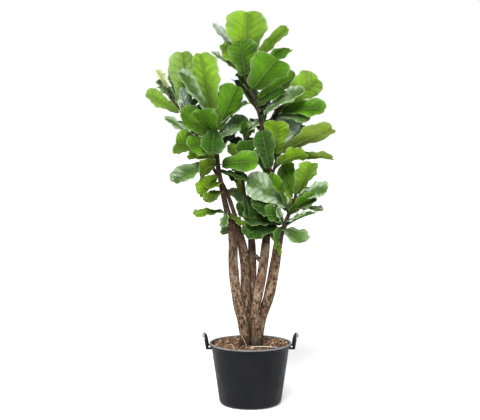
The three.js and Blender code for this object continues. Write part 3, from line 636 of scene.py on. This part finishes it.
def limb_mesh(pile, route, start, end, kind, sides, spacing, seed, youth=(0, 0)):
    """Bark over one stretch of a limb, with lumps, ring scars, and flutes near the ground.

    youth says how young it is at its two ends, from 0 to 1.
    """
    probe = middle_line(route, np.linspace(start, end, 60))
    length = np.linalg.norm(np.diff(probe, axis=0), axis=1).sum()
    count = max(int(length / spacing), 4) + 1
    places = np.linspace(start, end, count)
    middles, across, back, radii = limb_frames(route, places)
    steps = np.linalg.norm(np.diff(middles, axis=0), axis=1)
    run = np.concatenate([[0], np.cumsum(steps)])
    rings, straight, ages = [], [], []
    for i, place in enumerate(places):
        wander = 2.2 * ripple((run[i], 0, 0), 21, seed)
        scar = max(0.0, math.sin(run[i] * RING_SCAR_TURN + wander)) ** 6
        low = math.exp(-max(middles[i][2] - SOIL_EDGE_HEIGHT, 0) / FLARE_HEIGHT)
        age = youth[0] + (youth[1] - youth[0]) * (place - start) / (end - start)
        ring = []
        for angle in around(sides):
            x, y = radii[i] * math.cos(angle), radii[i] * math.sin(angle)
            lump = BARK_LUMP * math.sin(3 * angle + 40 * place) * math.cos(17 * place + angle)
            coarse = 0.05 * ripple((x, y, run[i] * 0.35), 26, seed)
            fine = 0.9 * ripple((x, y, run[i]), 6, seed + 9)
            flute = 0.07 * low * math.sin(5 * angle + seed)
            radius = radii[i] * (1 + lump + coarse + flute + 0.10 * low) + fine
            radius += RING_SCAR_HEIGHT * scar
            out = math.cos(angle) * across[i] + math.sin(angle) * back[i]
            ring.append(middles[i] + radius * out)
            straight.append((x, y, run[i] + 500 * seed))
            ages.append((age, low, 0))
        rings.append(ring)
    pile.add(*tube(rings), kind, bark_place=straight, bark_age=ages)


def stub_mesh(pile, foot, azimuth, rise, length, radius):
    """A pruned side branch with a rounded, cut end."""
    forward, side, face = (rows[0] for rows in directions(azimuth, np.array([rise]), 0))
    rings, straight = [], []
    for place, size in STUB_PROFILE:
        ring = []
        for angle in around(STUB_SIDES):
            x, y = math.cos(angle), math.sin(angle)
            knob = radius * size * (1 + 0.07 * math.sin(3 * angle + 9 * place))
            ring.append(foot + forward * length * place + knob * (side * x + face * y))
            straight.append((radius * x, radius * y, length * place))
        rings.append(ring)
    pile.add(*tube(rings), bark_place=straight)


# ---- Leaves ----

# Rows from a blade's base to its tip: where its margin is along the midrib, half its width as a
# share of its widest, and where its midrib is. The lobes at its base reach back past its stalk.
BLADE = [
    (0.00, 0.02, 0.00),
    (-0.012, 0.17, 0.01),
    (0.008, 0.34, 0.03),
    (0.07, 0.46, 0.08),
    (0.18, 0.55, 0.17),
    (0.31, 0.63, 0.29),
    (0.42, 0.75, 0.39),
    (0.53, 0.90, 0.50),
    (0.64, 0.985, 0.60),
    (0.75, 1.00, 0.69),
    (0.85, 0.93, 0.78),
    (0.93, 0.75, 0.86),
    (0.985, 0.50, 0.93),
    (1.0, 0.24, 0.962),
    (0.978, 0.0, 0.978),
]
BLADE_ROWS = 40
BLADE_COLUMNS = 9 # on each side of the midrib
MIDRIB_COLUMNS = np.array([0, 1.5, 3.2]) # the first of them, in millimetres
MIDRIB_SHARES = np.array([0, 0.2, 0.42]) # and at most this share of a narrow half
MIDRIB_HALF_WIDTH = 3.4
RAGGED = 0.045 # how far the margins stray, as a share of the half width
SIDE_VEINS = 7.5
VEIN_SWEEP = 0.62 # how far forward a side vein runs, for its reach from the midrib
VEIN_STAGGER = 0.28 # between the veins on the midrib's two sides, as a share of their spacing
STALK_RINGS = 7
STALK_SIDES = 8
STALK_PLACE = (0.5, 20, 0) # clear of all the veins
STALK_GREEN = (0.16, 0.27, 0.05)
# Each kind of leaf's green, and how much painted whitish sheen it gets. Above GLOSSY its upper face is
# glossy.
GREENS = {
    "deep": ((0.014, 0.064, 0.003), 0.0),
    "mid": ((0.031, 0.128, 0.002), 0.0),
    "moss": ((0.100, 0.182, 0.004), 0.0),
    "fresh": ((0.092, 0.252, 0.003), 0.0),
    "olive": ((0.182, 0.345, 0.007), 0.0),
    "bright": ((0.197, 0.385, 0.016), 0.03),
    "gold": ((0.205, 0.310, 0.020), 0.05),
    "lime": ((0.250, 0.440, 0.050), 0.12),
    "pale": ((0.760, 0.880, 0.360), 0.2),
    # grey, frost and silver: greens made whitish by their painted sheen
    "grey": ((0.074, 0.178, 0.018), 0.30),
    "frost": ((0.080, 0.205, 0.018), 0.72),
    "silver": ((0.130, 0.260, 0.060), 1.0),
    # white: a pale green that is itself a painted reflection, as on leaves that gleam at a glancing angle
    "white": ((0.700, 0.830, 0.700), 0.15),
}
GLOSSY = 0.2
LEAF_WORDS = ("azimuth", "rise", "droop", "roll", "length", "width", "fold")
CROWN_MATERIALS = [LEAF_UPPER, LEAF_UNDER, BARK, LEAF_GLOSSY]
UPPER, UNDER, WOOD, UPPER_GLOSSY = range(4)


def directions(azimuth, rises, roll):
    """A leaf's forward, side and upper directions at slopes in degrees, one row for each."""
    heading, turn = math.radians(azimuth), math.radians(roll)
    slopes = np.radians(rises)
    level_share = np.cos(slopes)
    forward = [math.cos(heading) * level_share, math.sin(heading) * level_share, np.sin(slopes)]
    forward = np.stack(forward, -1)
    level = np.broadcast_to((-math.sin(heading), math.cos(heading), 0.0), forward.shape)
    normal = np.cross(forward, level)
    side = level * math.cos(turn) + normal * math.sin(turn)
    face = normal * math.cos(turn) - level * math.sin(turn)
    return forward, side, face


def midrib(base, leaf, shares):
    """Points along a leaf's midrib, which is an arc."""
    half = np.radians(leaf["droop"]) * shares / 2
    chord = leaf["length"] * shares * np.sinc(half / math.pi)
    slopes = leaf["rise"] + leaf["droop"] / 2 - leaf["droop"] * shares / 2
    return base + directions(leaf["azimuth"], slopes, 0)[0] * chord[..., None]


def leaf_frames(base, leaf, shares):
    """Points along a leaf's midrib, with its side and upper directions there."""
    slopes = leaf["rise"] + leaf["droop"] / 2 - leaf["droop"] * shares
    _, side, face = directions(leaf["azimuth"], slopes, leaf["roll"])
    return midrib(base, leaf, shares), side, face


def blade_half(hand, margin, half, leaf):
    """Offsets from the midrib over one half of a blade, and their shares of its ragged half width."""
    ragged = RAGGED * np.sin(TURN * 2.7 * margin + 1.7 * leaf["phase"] + 2.1 * hand)
    ragged += 0.6 * RAGGED * np.sin(TURN * 6.1 * margin + leaf["phase"] + hand)
    out = half * leaf["width"] / 2 * (1 + ragged)
    near = np.minimum(MIDRIB_COLUMNS[None, :], out[:, None] * MIDRIB_SHARES[None, :])
    spread = np.linspace(0, 1, BLADE_COLUMNS - 2)[1:] ** 0.9
    far = near[:, 2:] + (out[:, None] - near[:, 2:]) * spread[None, :]
    offsets = hand * np.concatenate([near, far], 1)
    return offsets, np.abs(offsets) / out[:, None]


def blade_lift(leaf, half, offsets, share, along, vein):
    """How high each point of a blade stands: its fold, waves, flutter, quilting and billows."""
    sign = np.sign(offsets)
    waves = TURN * BLADE_WAVES * along + leaf["phase"] + MARGIN_STEP * sign
    flutter = TURN * 5.3 * along + 3.1 * leaf["phase"] + 2 * sign
    quilt = -np.cos(TURN * vein) * np.sqrt(np.clip(share * (1 - share) * 4, 0, 1))
    lift = leaf["fold"] * np.abs(offsets) * (1.12 - 0.12 * share)
    lift += BLADE_WAVE * half[:, None] * share**1.8 * np.sin(waves)
    lift += leaf["flutter"] * half[:, None] * share**3 * np.sin(flutter)
    lift += leaf["quilt"] * quilt * half[:, None]
    lift += 1.6 * half[:, None] * np.sin(7 * along + 2 * leaf["phase"]) * share
    return lift


def sheet_faces(rows, columns, upper, under):
    """A closed sheet's faces and their kinds, over two grids of points and round their rim."""
    count = rows * columns
    places = np.arange(count).reshape(rows, columns)
    rim = [*places[::-1, 0], *places[0, 1:-1], *places[:, -1], *places[-1, -2:0:-1]]
    faces = grid(rows, columns, flip=True)
    kinds = [upper] * len(faces)
    faces += grid(rows, columns, start=count)
    faces += [[a, a + count, b + count, b] for a, b in zip(rim, rim[1:] + rim[:1])]
    return faces, kinds + [under] * (len(faces) - len(kinds))


def blade_mesh(pile, base, leaf):
    """A leaf's blade, with a waved and ragged margin, quilted between its side veins."""
    margin, half, spine = smooth_line(BLADE, np.linspace(0, 1, BLADE_ROWS)).T
    half = np.maximum(half, 0.004)
    (left, left_share), (right, right_share) = (blade_half(h, margin, half, leaf) for h in (-1, 1))
    offsets = np.concatenate([left[:, :0:-1], right], 1)
    share = np.concatenate([left_share[:, :0:-1], right_share], 1)
    along = spine[:, None] + (margin - spine)[:, None] * share**1.6
    reach = np.abs(offsets) / (leaf["length"] * (1 - PETIOLE_SHARE))
    vein = (along - VEIN_SWEEP * reach**0.94) * SIDE_VEINS + VEIN_STAGGER * (offsets > 0)
    lift = blade_lift(leaf, half, offsets, share, along, vein)
    middle, side, face = leaf_frames(base, leaf, PETIOLE_SHARE + (1 - PETIOLE_SHARE) * along)
    ridge = np.clip(1 - np.abs(offsets) / MIDRIB_HALF_WIDTH, 0, 1) * (3.0 - 2.3 * along)
    edge = BLADE_THICKNESS / 2
    flat = middle + side * offsets[..., None]
    upper = flat + face * (lift + edge - 0.25 * ridge)[..., None]
    lower = flat + face * (lift - edge - ridge)[..., None]
    places = np.stack([vein, np.abs(offsets) / 10, along], -1)
    edges = np.stack([share, np.full_like(share, leaf["sheen"]), np.zeros_like(share)], -1)
    shown = UPPER_GLOSSY if leaf["sheen"] > GLOSSY else UPPER
    faces, kinds = sheet_faces(BLADE_ROWS, offsets.shape[1], shown, UNDER)
    points, places, edges = (
        np.stack(grids).reshape(-1, 3) for grids in ((upper, lower), (places, places), (edges, edges))
    )
    pile.add(points, faces, kinds, leaf_place=places, leaf_green=leaf["green"], leaf_edge=edges)


def stalk_mesh(pile, base, leaf):
    """A leaf's stalk, which sinks under its blade as it tapers."""
    shares = np.linspace(0, PETIOLE_SHARE + 0.05, STALK_RINGS)
    middles, side, face = leaf_frames(base, leaf, shares)
    sizes = np.interp(np.arange(STALK_RINGS), [0, 1, 4, 6], [1.25, 1.0, 0.8, 0.5]) * PETIOLE_RADIUS
    rings = []
    for i, size in enumerate(sizes):
        sunk = middles[i] - face[i] * 1.2 * (i / (STALK_RINGS - 1))
        ring = []
        for angle in around(STALK_SIDES):
            ring.append(sunk + size * (side[i] * math.cos(angle) + face[i] * math.sin(angle)))
        rings.append(ring)
    pile.add(*tube(rings), UNDER, leaf_place=STALK_PLACE, leaf_green=STALK_GREEN)


def leaves_behind(count, start, end, azimuth, length):
    """Rows of leaves that fill the crown behind the others, in turn of two dark kinds."""
    rows = []
    for i in range(count):
        swing = ((i * GOLDEN_TURN) % 90) - 45
        at = start + (end - start) * i / max(count - 1, 1)
        size = length * (1 - 0.12 * (i % 2))
        rows.append((at, azimuth + swing, 15 + 25 * at, 25, swing / 4, size, size * 0.55))
    return rows


def foliage(pile, limb, leafy_from=0):
    """The leafy part of a limb: its wood, its leaves and its twigs."""
    route = limb["route"]
    start = leafy_from / (len(route) - 1)
    limb_mesh(pile, route, start, 1, WOOD, sides=12, spacing=12, seed=len(route) / 3, youth=(0.8, 1))
    placed = limb["leaves"]
    hidden = leaves_behind(*limb["behind"])
    hidden = [(("mid", "deep")[i % 2], *row) for i, row in enumerate(hidden, len(placed))]
    for index, (kind, at, *shape) in enumerate(placed + hidden):
        leaf = dict(zip(LEAF_WORDS, shape), phase=LEAF_STEP * index)
        if "fold" not in leaf:
            leaf["fold"] = BLADE_FOLD + rng.uniform(-0.05, 0.05)
        leaf["flutter"] = rng.uniform(2.2, 4.5)
        leaf["quilt"] = rng.uniform(2.2, 3.8)
        green, leaf["sheen"] = GREENS[kind]
        leaf["green"] = np.array(green) * rng.uniform(0.9, 1.1)
        base = middle_line(route, [start + (1 - start) * at])[0]
        blade_mesh(pile, base, leaf)
        stalk_mesh(pile, base, leaf)
    for twig in limb.get("twigs", []):
        foliage(pile, twig)


def stem(name, limb, seed):
    """A stem's bare trunk and its leafy crown."""
    route = limb["route"]
    bare_end = limb["leafy_from"] / (len(route) - 1)
    bare = Pile(*PLANT_VALUES)
    limb_mesh(bare, route, 0, bare_end, 0, sides=30, spacing=7, seed=seed)
    for at, *shape in limb.get("stubs", []):
        stub_mesh(bare, middle_line(route, [at * bare_end])[0], *shape)
    finish_piece(bare.object(f"bark_{name}", [BARK]), "bark", f"trunk_{name}")
    leafy = Pile(*PLANT_VALUES)
    foliage(leafy, limb, limb["leafy_from"])
    finish_piece(leafy.object(f"foliage_{name}", CROWN_MATERIALS), "leaf", f"crown_{name}")


for number, (name, limb) in enumerate(STEMS.items(), 1):
    stem(name, limb, seed=float(number))

# ---- Pot ----

POT_SIDES = 216
FLOOR_HOLE = 20 # a small flat middle, where the turned faces would pinch
NOTCHES = 16
NOTCH_HEIGHT = 17
NOTCH_HALF_HEIGHT = 7.5
NOTCH_DEPTH = 3.2
OUT_OF_ROUND = 0.5
LIP_STEP = 3 # how much further in the rim's lip reaches than on the plain part


def wall_radius(height):
    up = (height - POT_FOOT_HEIGHT) / (POT_HEIGHT - RIM_DEPTH - POT_FOOT_HEIGHT)
    return POT_FOOT_RADIUS + (POT_TOP_RADIUS - POT_FOOT_RADIUS) * up


def inner_radius(height):
    """The container's inner wall, which flares in the rim."""
    wall = wall_radius(min(height, RIM_FOOT_HEIGHT)) - POT_WALL
    flare = max(height - RIM_FOOT_HEIGHT, 0) / (RIM_DEPTH - RIM_ROUND)
    return wall + (RIM_INNER_RADIUS - wall) * flare


def rounded(start, corner, end, steps):
    """Rows of a rounded corner between two (radius, height) points."""
    start, corner, end = np.array([start, corner, end], dtype=float)
    shares = [step / steps for step in range(steps + 1)]
    return [tuple((1 - t) ** 2 * start + 2 * t * (1 - t) * corner + t * t * end) for t in shares]


def pot_profile():
    """(radius, height) rows: under the pot, up its wall, over the rim and down inside."""
    below, foot, top = POT_FOOT_HEIGHT, RIM_FOOT_HEIGHT, POT_HEIGHT
    neck = foot - 6
    lip = RIM_INNER_RADIUS - LIP_STEP
    rows = [(FLOOR_HOLE, 0), (90, 0)]
    rows += rounded((POT_UNDERSIDE_RADIUS, 0), (POT_FOOT_RADIUS - 4, 2), (POT_FOOT_RADIUS, below), 9)
    rows += [(wall_radius(z), z) for z in range(below + 4, foot - 12, 9)]
    rows += rounded((wall_radius(neck), neck), (POT_TOP_RADIUS, foot), (POT_TOP_RADIUS + 5, foot), 3)
    rows += rounded((RIM_RADIUS - RIM_ROUND, foot), (RIM_RADIUS - 1, foot + 1), (RIM_RADIUS, foot + 6), 4)
    rows += rounded((RIM_RADIUS, top - RIM_ROUND), (RIM_RADIUS, top), (RIM_RADIUS - 3, top), 5)
    rows += rounded((lip + 2, top), (lip, top), (lip, top - 2), 4)
    rows += [(wall_radius(z) - POT_WALL, z) for z in (foot, 330, 300, 200, 100, below)]
    return rows + [(POT_UNDERSIDE_RADIUS - POT_WALL, POT_WALL), (FLOOR_HOLE, POT_WALL)]


def pot():
    points, faces = lathe(pot_profile(), POT_SIDES)
    radius = np.hypot(points[:, 0], points[:, 1])
    angle = np.arctan2(points[:, 1], points[:, 0])
    height = points[:, 2]
    wall = height < RIM_FOOT_HEIGHT - 8
    # Drainage notches round the foot, and the slight out-of-round of thin moulded plastic
    outside = radius > wall_radius(height) - 2.5
    notch = np.exp(-((height - NOTCH_HEIGHT) / NOTCH_HALF_HEIGHT) ** 2)
    notch = notch * np.clip(np.cos(NOTCHES * angle) * 2.2 - 1.2, 0, 1)
    shrink = np.where(outside & (height < 60), NOTCH_DEPTH * notch, 0)
    wobble = OUT_OF_ROUND * np.sin(3 * angle + 0.012 * height) * np.clip(height / 200, 0, 1) * wall
    scale = (radius - shrink - OUT_OF_ROUND + wobble * outside) / radius
    points[:, :2] *= np.where(wall, scale, 1)[:, None]
    finish_piece(build("pot_shell", points, faces, [POT_PLASTIC], sharp_above=40), "pot_plastic", "pot")


pot()

# ---- Handles ----

BOW_STEPS = 61
BAR_SIDES = 16
SQUARENESS = 0.7 # below 1, the bar's section is squarer than an ellipse
GRIP_OPENING = (150, -60) # where the curl starts and ends, in degrees from outwards
GRIP_STEPS = 22
LUG_GAP = 0.3
LUG_CORNER = 2


def handle_bow():
    """Points along the bow: up one side, across the level top and down the other."""
    span, top = HANDLE_HALF_SPAN, HANDLE_TOP_HEIGHT
    half = [
        (HANDLE_FOOT_X, span, RIM_FOOT_HEIGHT - LUG_HEIGHT),
        (HANDLE_FOOT_X + 5, span, POT_HEIGHT),
        (HANDLE_TOP_X - 5, span - 6, top - 15),
        (HANDLE_TOP_X, span - HANDLE_CORNER, top),
    ]
    return half + [(HANDLE_TOP_X, 0, top + 1)] + [(x, -y, z) for x, y, z in half][::-1]


def handle_bar():
    middles = smooth_line(handle_bow(), np.linspace(0, 1, BOW_STEPS))
    forward = unit(np.gradient(middles, axis=0))
    outward = np.array((1.0, 0, 0))
    across = unit(np.cross(forward, outward))
    rings = []
    for middle, side in zip(middles, across):
        ring = []
        for angle in (np.arange(BAR_SIDES) + 0.5) * TURN / BAR_SIDES:
            out, along = math.cos(angle), math.sin(angle)
            deep = HANDLE_BAR_RADIUS * math.copysign(abs(out) ** SQUARENESS, out)
            wide = HANDLE_BAR_HALF_WIDTH * math.copysign(abs(along) ** SQUARENESS, along)
            ring.append(middle + outward * deep + side * wide)
        rings.append(ring)
    return tube(rings)


def handle_grip():
    """The curled grip: a C-shaped section, pinched at its ends and open on its outer side."""
    middle_x, middle_z = HANDLE_TOP_X + GRIP_RADIUS - 7, HANDLE_TOP_HEIGHT - 1
    section = []
    for radius, turns in ((GRIP_RADIUS, GRIP_OPENING), (GRIP_RADIUS - GRIP_WALL, GRIP_OPENING[::-1])):
        for angle in np.radians(np.linspace(*turns, GRIP_STEPS)):
            section.append((radius * math.cos(angle), radius * math.sin(angle)))
    rings = []
    for y in np.linspace(GRIP_HALF_LENGTH, -GRIP_HALF_LENGTH, 25):
        end = abs(y) / GRIP_HALF_LENGTH
        pinch = 1 - 0.10 * max(0.0, end - 0.93) / 0.07
        rings.append([(middle_x + x * pinch, y, middle_z + z * pinch) for x, z in section])
    return tube(rings)


def handle_lug(middle_y):
    """A foot that hooks under the rim, with bevelled edges."""
    top = RIM_FOOT_HEIGHT - LUG_GAP
    inner = math.sqrt(POT_TOP_RADIUS**2 - (HANDLE_HALF_SPAN - LUG_HALF_WIDTH) ** 2) + LUG_GAP
    outer = HANDLE_FOOT_X + HANDLE_BAR_RADIUS
    rings = []
    for x, inset in ((inner, 1.5), (inner + 1.5, 0), (outer - 3, 0), (outer, 3)):
        wide, low, high = LUG_HALF_WIDTH - inset, top - LUG_HEIGHT + inset, top - inset * 0.3
        section = [
            (-wide, low + LUG_CORNER), (-wide + LUG_CORNER, low),
            (wide - LUG_CORNER, low), (wide, low + LUG_CORNER),
            (wide, high - LUG_CORNER), (wide - LUG_CORNER, high),
            (-wide + LUG_CORNER, high), (-wide, high - LUG_CORNER),
        ]
        rings.append([(x, middle_y + y, z) for y, z in section])
    return tube(rings)


def handle(name, mirror):
    pile = Pile()
    pile.add(*handle_bar())
    pile.add(*handle_grip())
    for end in (-1, 1):
        pile.add(*handle_lug(end * HANDLE_HALF_SPAN))
    if mirror:
        pile.points = [points * (-1, 1, 1) for points in pile.points]
        pile.faces = [face[::-1] for face in pile.faces]
    piece = pile.object(f"grip_{name}", [HANDLE_PLASTIC], sharp_above=40)
    finish_piece(piece, "handle_plastic", f"handle_{name}")


handle("right", mirror=False)
handle("left", mirror=True)

# ---- Soil ----

SOIL_SIDES = 140
SOIL_RINGS = 46
SOIL_GAP = 0.6 # to the pot's wall
CHIP_COUNT = 2300
CHIP_SIDES = 6
CHIP_COLOURS = np.array([
    (0.18, 0.095, 0.048),
    (0.33, 0.20, 0.105),
    (0.56, 0.44, 0.28),
    (0.08, 0.042, 0.025),
    (0.25, 0.095, 0.060),
    (0.17, 0.065, 0.045),
    (0.045, 0.026, 0.017),
    (0.36, 0.27, 0.12),
])


def rising(value, start, end):
    """How far a value has run from start to end, held between 0 and 1."""
    return min(max((value - start) / (end - start), 0), 1)


def soil_height(x, y):
    """The soil's plain surface, as the part's source has it."""
    lumps = np.sin(0.071 * x + 1) * np.cos(0.083 * y) + np.sin(0.13 * (x + y)) / 2
    return SOIL_EDGE_HEIGHT + SOIL_CROWN * (1 - np.hypot(x, y) / POT_TOP_RADIUS) + SOIL_LUMP * lumps


def soil_surface(x, y):
    """The soil's real surface: the plain one with clods, and banked up at the back."""
    clods = 3.2 * ripple((x, y, 0), 17, 3) + 1.8 * ripple((x, y, 0), 7, 5)
    banked = 7 * rising(math.hypot(x, y), 170, 220) * rising(y, -60, 60)
    return float(soil_height(x, y)) + clods + banked


def soil():
    edge = inner_radius(SOIL_EDGE_HEIGHT) - SOIL_GAP
    skirt = (POT_FOOT_HEIGHT, RIM_FOOT_HEIGHT, SOIL_EDGE_HEIGHT - 5)
    profile = [(20, 4), (POT_UNDERSIDE_RADIUS - 5, 4)]
    profile += [(inner_radius(z) - SOIL_GAP, z) for z in skirt]
    under = len(profile) * SOIL_SIDES
    profile += [(edge * ring / SOIL_RINGS, SOIL_EDGE_HEIGHT) for ring in range(SOIL_RINGS, 0, -1)]
    points, faces = lathe(profile, SOIL_SIDES)
    for point in points[under:]:
        point[2] = soil_surface(point[0], point[1])
    finish_piece(build("potting_mix", points, faces, [SOIL], sharp_above=180), "potting_mix", "soil")


def chip(pile, x, y, colour, size):
    """One flake of bark: a flat, jagged, tapered piece lying at a slant."""
    long, wide, thick = size
    turn, tip, roll = rng.uniform(0, TURN), rng.uniform(-0.5, 0.5), rng.uniform(-0.5, 0.5)
    angles = np.arange(CHIP_SIDES) * TURN / CHIP_SIDES
    reach = rng.uniform(0.7, 1.1, CHIP_SIDES)
    flat = np.stack([long * reach * np.cos(angles), wide * reach * np.sin(angles)], -1)
    top = np.concatenate([flat * 0.82, rng.uniform(0.7, 1, (CHIP_SIDES, 1)) * thick], 1)
    low = np.concatenate([flat, rng.uniform(-1, -0.7, (CHIP_SIDES, 1)) * thick], 1)
    cosines, sines = np.cos((turn, tip, roll)), np.sin((turn, tip, roll))
    spin = np.array([[cosines[0], -sines[0], 0], [sines[0], cosines[0], 0], [0, 0, 1]])
    pitch = np.array([[cosines[1], 0, sines[1]], [0, 1, 0], [-sines[1], 0, cosines[1]]])
    bank = np.array([[1, 0, 0], [0, cosines[2], -sines[2]], [0, sines[2], cosines[2]]])
    points = np.concatenate([low, top]) @ (spin @ pitch @ bank).T
    points += (x, y, soil_surface(x, y) + thick * 0.6)
    faces = grid(2, CHIP_SIDES, wrap=True)
    faces += [list(range(CHIP_SIDES))[::-1], list(range(CHIP_SIDES, 2 * CHIP_SIDES))]
    pile.add(points, faces, chip_colour=colour)


def chips():
    """Loose flakes over the soil, with painted shade near the front wall and the trunks' feet."""
    pile = Pile("chip_colour")
    reach = inner_radius(SOIL_EDGE_HEIGHT) - 12
    feet = [limb["route"][1] for limb in STEMS.values()]
    for _ in range(CHIP_COUNT):
        radius, angle = reach * math.sqrt(rng.uniform()), rng.uniform(0, TURN)
        x, y = radius * math.cos(angle), radius * math.sin(angle)
        size = rng.uniform(4, 15) * np.array((1, rng.uniform(0.3, 0.7), rng.uniform(0.12, 0.28)))
        nearest = min(math.hypot(x - foot[0], y - foot[1]) - foot[3] for foot in feet)
        # Painted shade: darker close to the trunks' feet and towards the front wall
        light = rising(nearest, 0, 60) * max(rising(y, -260, -170), 0.3)
        colour = CHIP_COLOURS[rng.integers(len(CHIP_COLOURS))] * rng.uniform(0.6, 1.3)
        if nearest > 2:
            chip(pile, x, y, colour * (0.3 + 0.7 * light), size)
    finish_piece(pile.object("bark_chips", [CHIPS], sharp_above=30), "potting_mix")


soil()
chips()

# ---- Label ----

LABEL_LIFT = 11 # above the soil's edge
LABEL_BOW = 4.5
LABEL_RIDGE = 0.3 # how much thicker it is along its middle


def label():
    """The strip and its tag, in sections from the blunt tip to the tag's end."""
    neck, end = LABEL_LENGTH - LABEL_TAG_LENGTH, LABEL_LENGTH
    outline = [(0, 1.5), (2, 3), (12, LABEL_WIDTH)]
    outline += [(along, LABEL_WIDTH) for along in np.linspace(24, neck, 14)]
    outline += [(neck + LABEL_SHOULDER, LABEL_TAG_WIDTH), (end - 2, LABEL_TAG_WIDTH)]
    outline += [(end, LABEL_TAG_WIDTH - 3)]
    turn, thick = math.radians(LABEL_TURN), LABEL_THICKNESS / 2
    section = [(-1, -thick), (1, -thick), (1, thick), (0, thick + LABEL_RIDGE), (-1, thick)]
    rings = []
    for along, width in outline:
        height = SOIL_EDGE_HEIGHT + LABEL_LIFT + LABEL_BOW * math.sin(math.pi * along / end)
        height -= 0.00012 * (along - 60) ** 2
        ring = []
        for hand, up in section:
            side = hand * width / 2
            x = LABEL_START[0] + along * math.cos(turn) - side * math.sin(turn)
            y = LABEL_START[1] + along * math.sin(turn) + side * math.cos(turn)
            ring.append((x, y, height + up))
        rings.append(ring)
    piece = build("blank_label", *tube(rings), [LABEL], sharp_above=40)
    finish_piece(piece, "label_plastic", "plant_label")


label()

# ---- Straw ----


def straw():
    pile = Pile(*PLANT_VALUES)
    limb_mesh(pile, STRAW_ROUTE, 0, 1, 0, sides=10, spacing=4, seed=4.0)
    finish_piece(pile.object("dry_straw", [STRAW]), "bark", "straw")


straw()

# ---- Floor, camera and light: places are in metres ----

FLOOR_HALF_WIDTH = 30000 # in millimetres, as it is built like the pieces
FLOOR_HEIGHT = -1
CAMERA_PLACE = (-0.0635, -8.0, 1.95)
CAMERA_TARGET = (-0.0635, 0, 1.1902)


def floor():
    """A pale floor that gives off a little light, so that shadows on it stay faint."""
    corners = [(-1, -1), (1, -1), (1, 1), (-1, 1)]
    points = [(x * FLOOR_HALF_WIDTH, y * FLOOR_HALF_WIDTH, FLOOR_HEIGHT) for x, y in corners]
    look = Shader("floor", Roughness=0.9, Specular_IOR_Level=0.0, Emission_Strength=0.45)
    look.set("Emission Color", (1, 1, 1, 1))
    build("floor", points, [[0, 1, 2, 3]], [look.painted((0.8, 0.8, 0.8, 1))])


def aim(thing, place, target):
    thing.location = place
    way = Vector(target) - thing.location
    thing.rotation_euler = way.to_track_quat("-Z", "Y").to_euler()


def camera():
    data = bpy.data.cameras.new("camera")
    data.lens = 99.75
    data.sensor_width = 36
    data.clip_end = 200
    eye = show("camera", data)
    aim(eye, CAMERA_PLACE, CAMERA_TARGET)
    bpy.context.scene.camera = eye


def sky(shown, strength):
    """A white studio: its walls are seen brighter than they light the plant."""
    world = bpy.data.worlds.new("studio")
    bpy.context.scene.world = world
    world.use_nodes = True
    nodes, links = world.node_tree.nodes, world.node_tree.links
    background = nodes["Background"]
    background.inputs["Color"].default_value = (1, 1, 1, 1)
    seen = nodes.new("ShaderNodeLightPath").outputs["Is Camera Ray"]
    level = nodes.new("ShaderNodeMapRange")
    level.inputs["To Min"].default_value = strength
    level.inputs["To Max"].default_value = shown
    links.new(seen, level.inputs["Value"])
    links.new(level.outputs[0], background.inputs["Strength"])


def lamp(name, kind, place, target, power, **settings):
    data = bpy.data.lights.new(name, kind)
    data.energy = power
    for key, value in settings.items():
        setattr(data, key, value)
    aim(show(name, data), place, target)


floor()
camera()
sky(1.0, 0.22)
lamp("sun", "SUN", (-0.9, -5.0, 5.5), (0, 0, 1.2), 4.2, angle=math.radians(24))
lamp("left_glow", "AREA", (-4.5, -1.0, 3.2), (0, 0, 1.7), 115, shape="DISK", size=2.0)
lamp("right_glow", "AREA", (4.5, -1.5, 2.6), (0, 0, 1.5), 60, shape="DISK", size=2.0)
bpy.context.scene.view_settings.view_transform = "Standard"
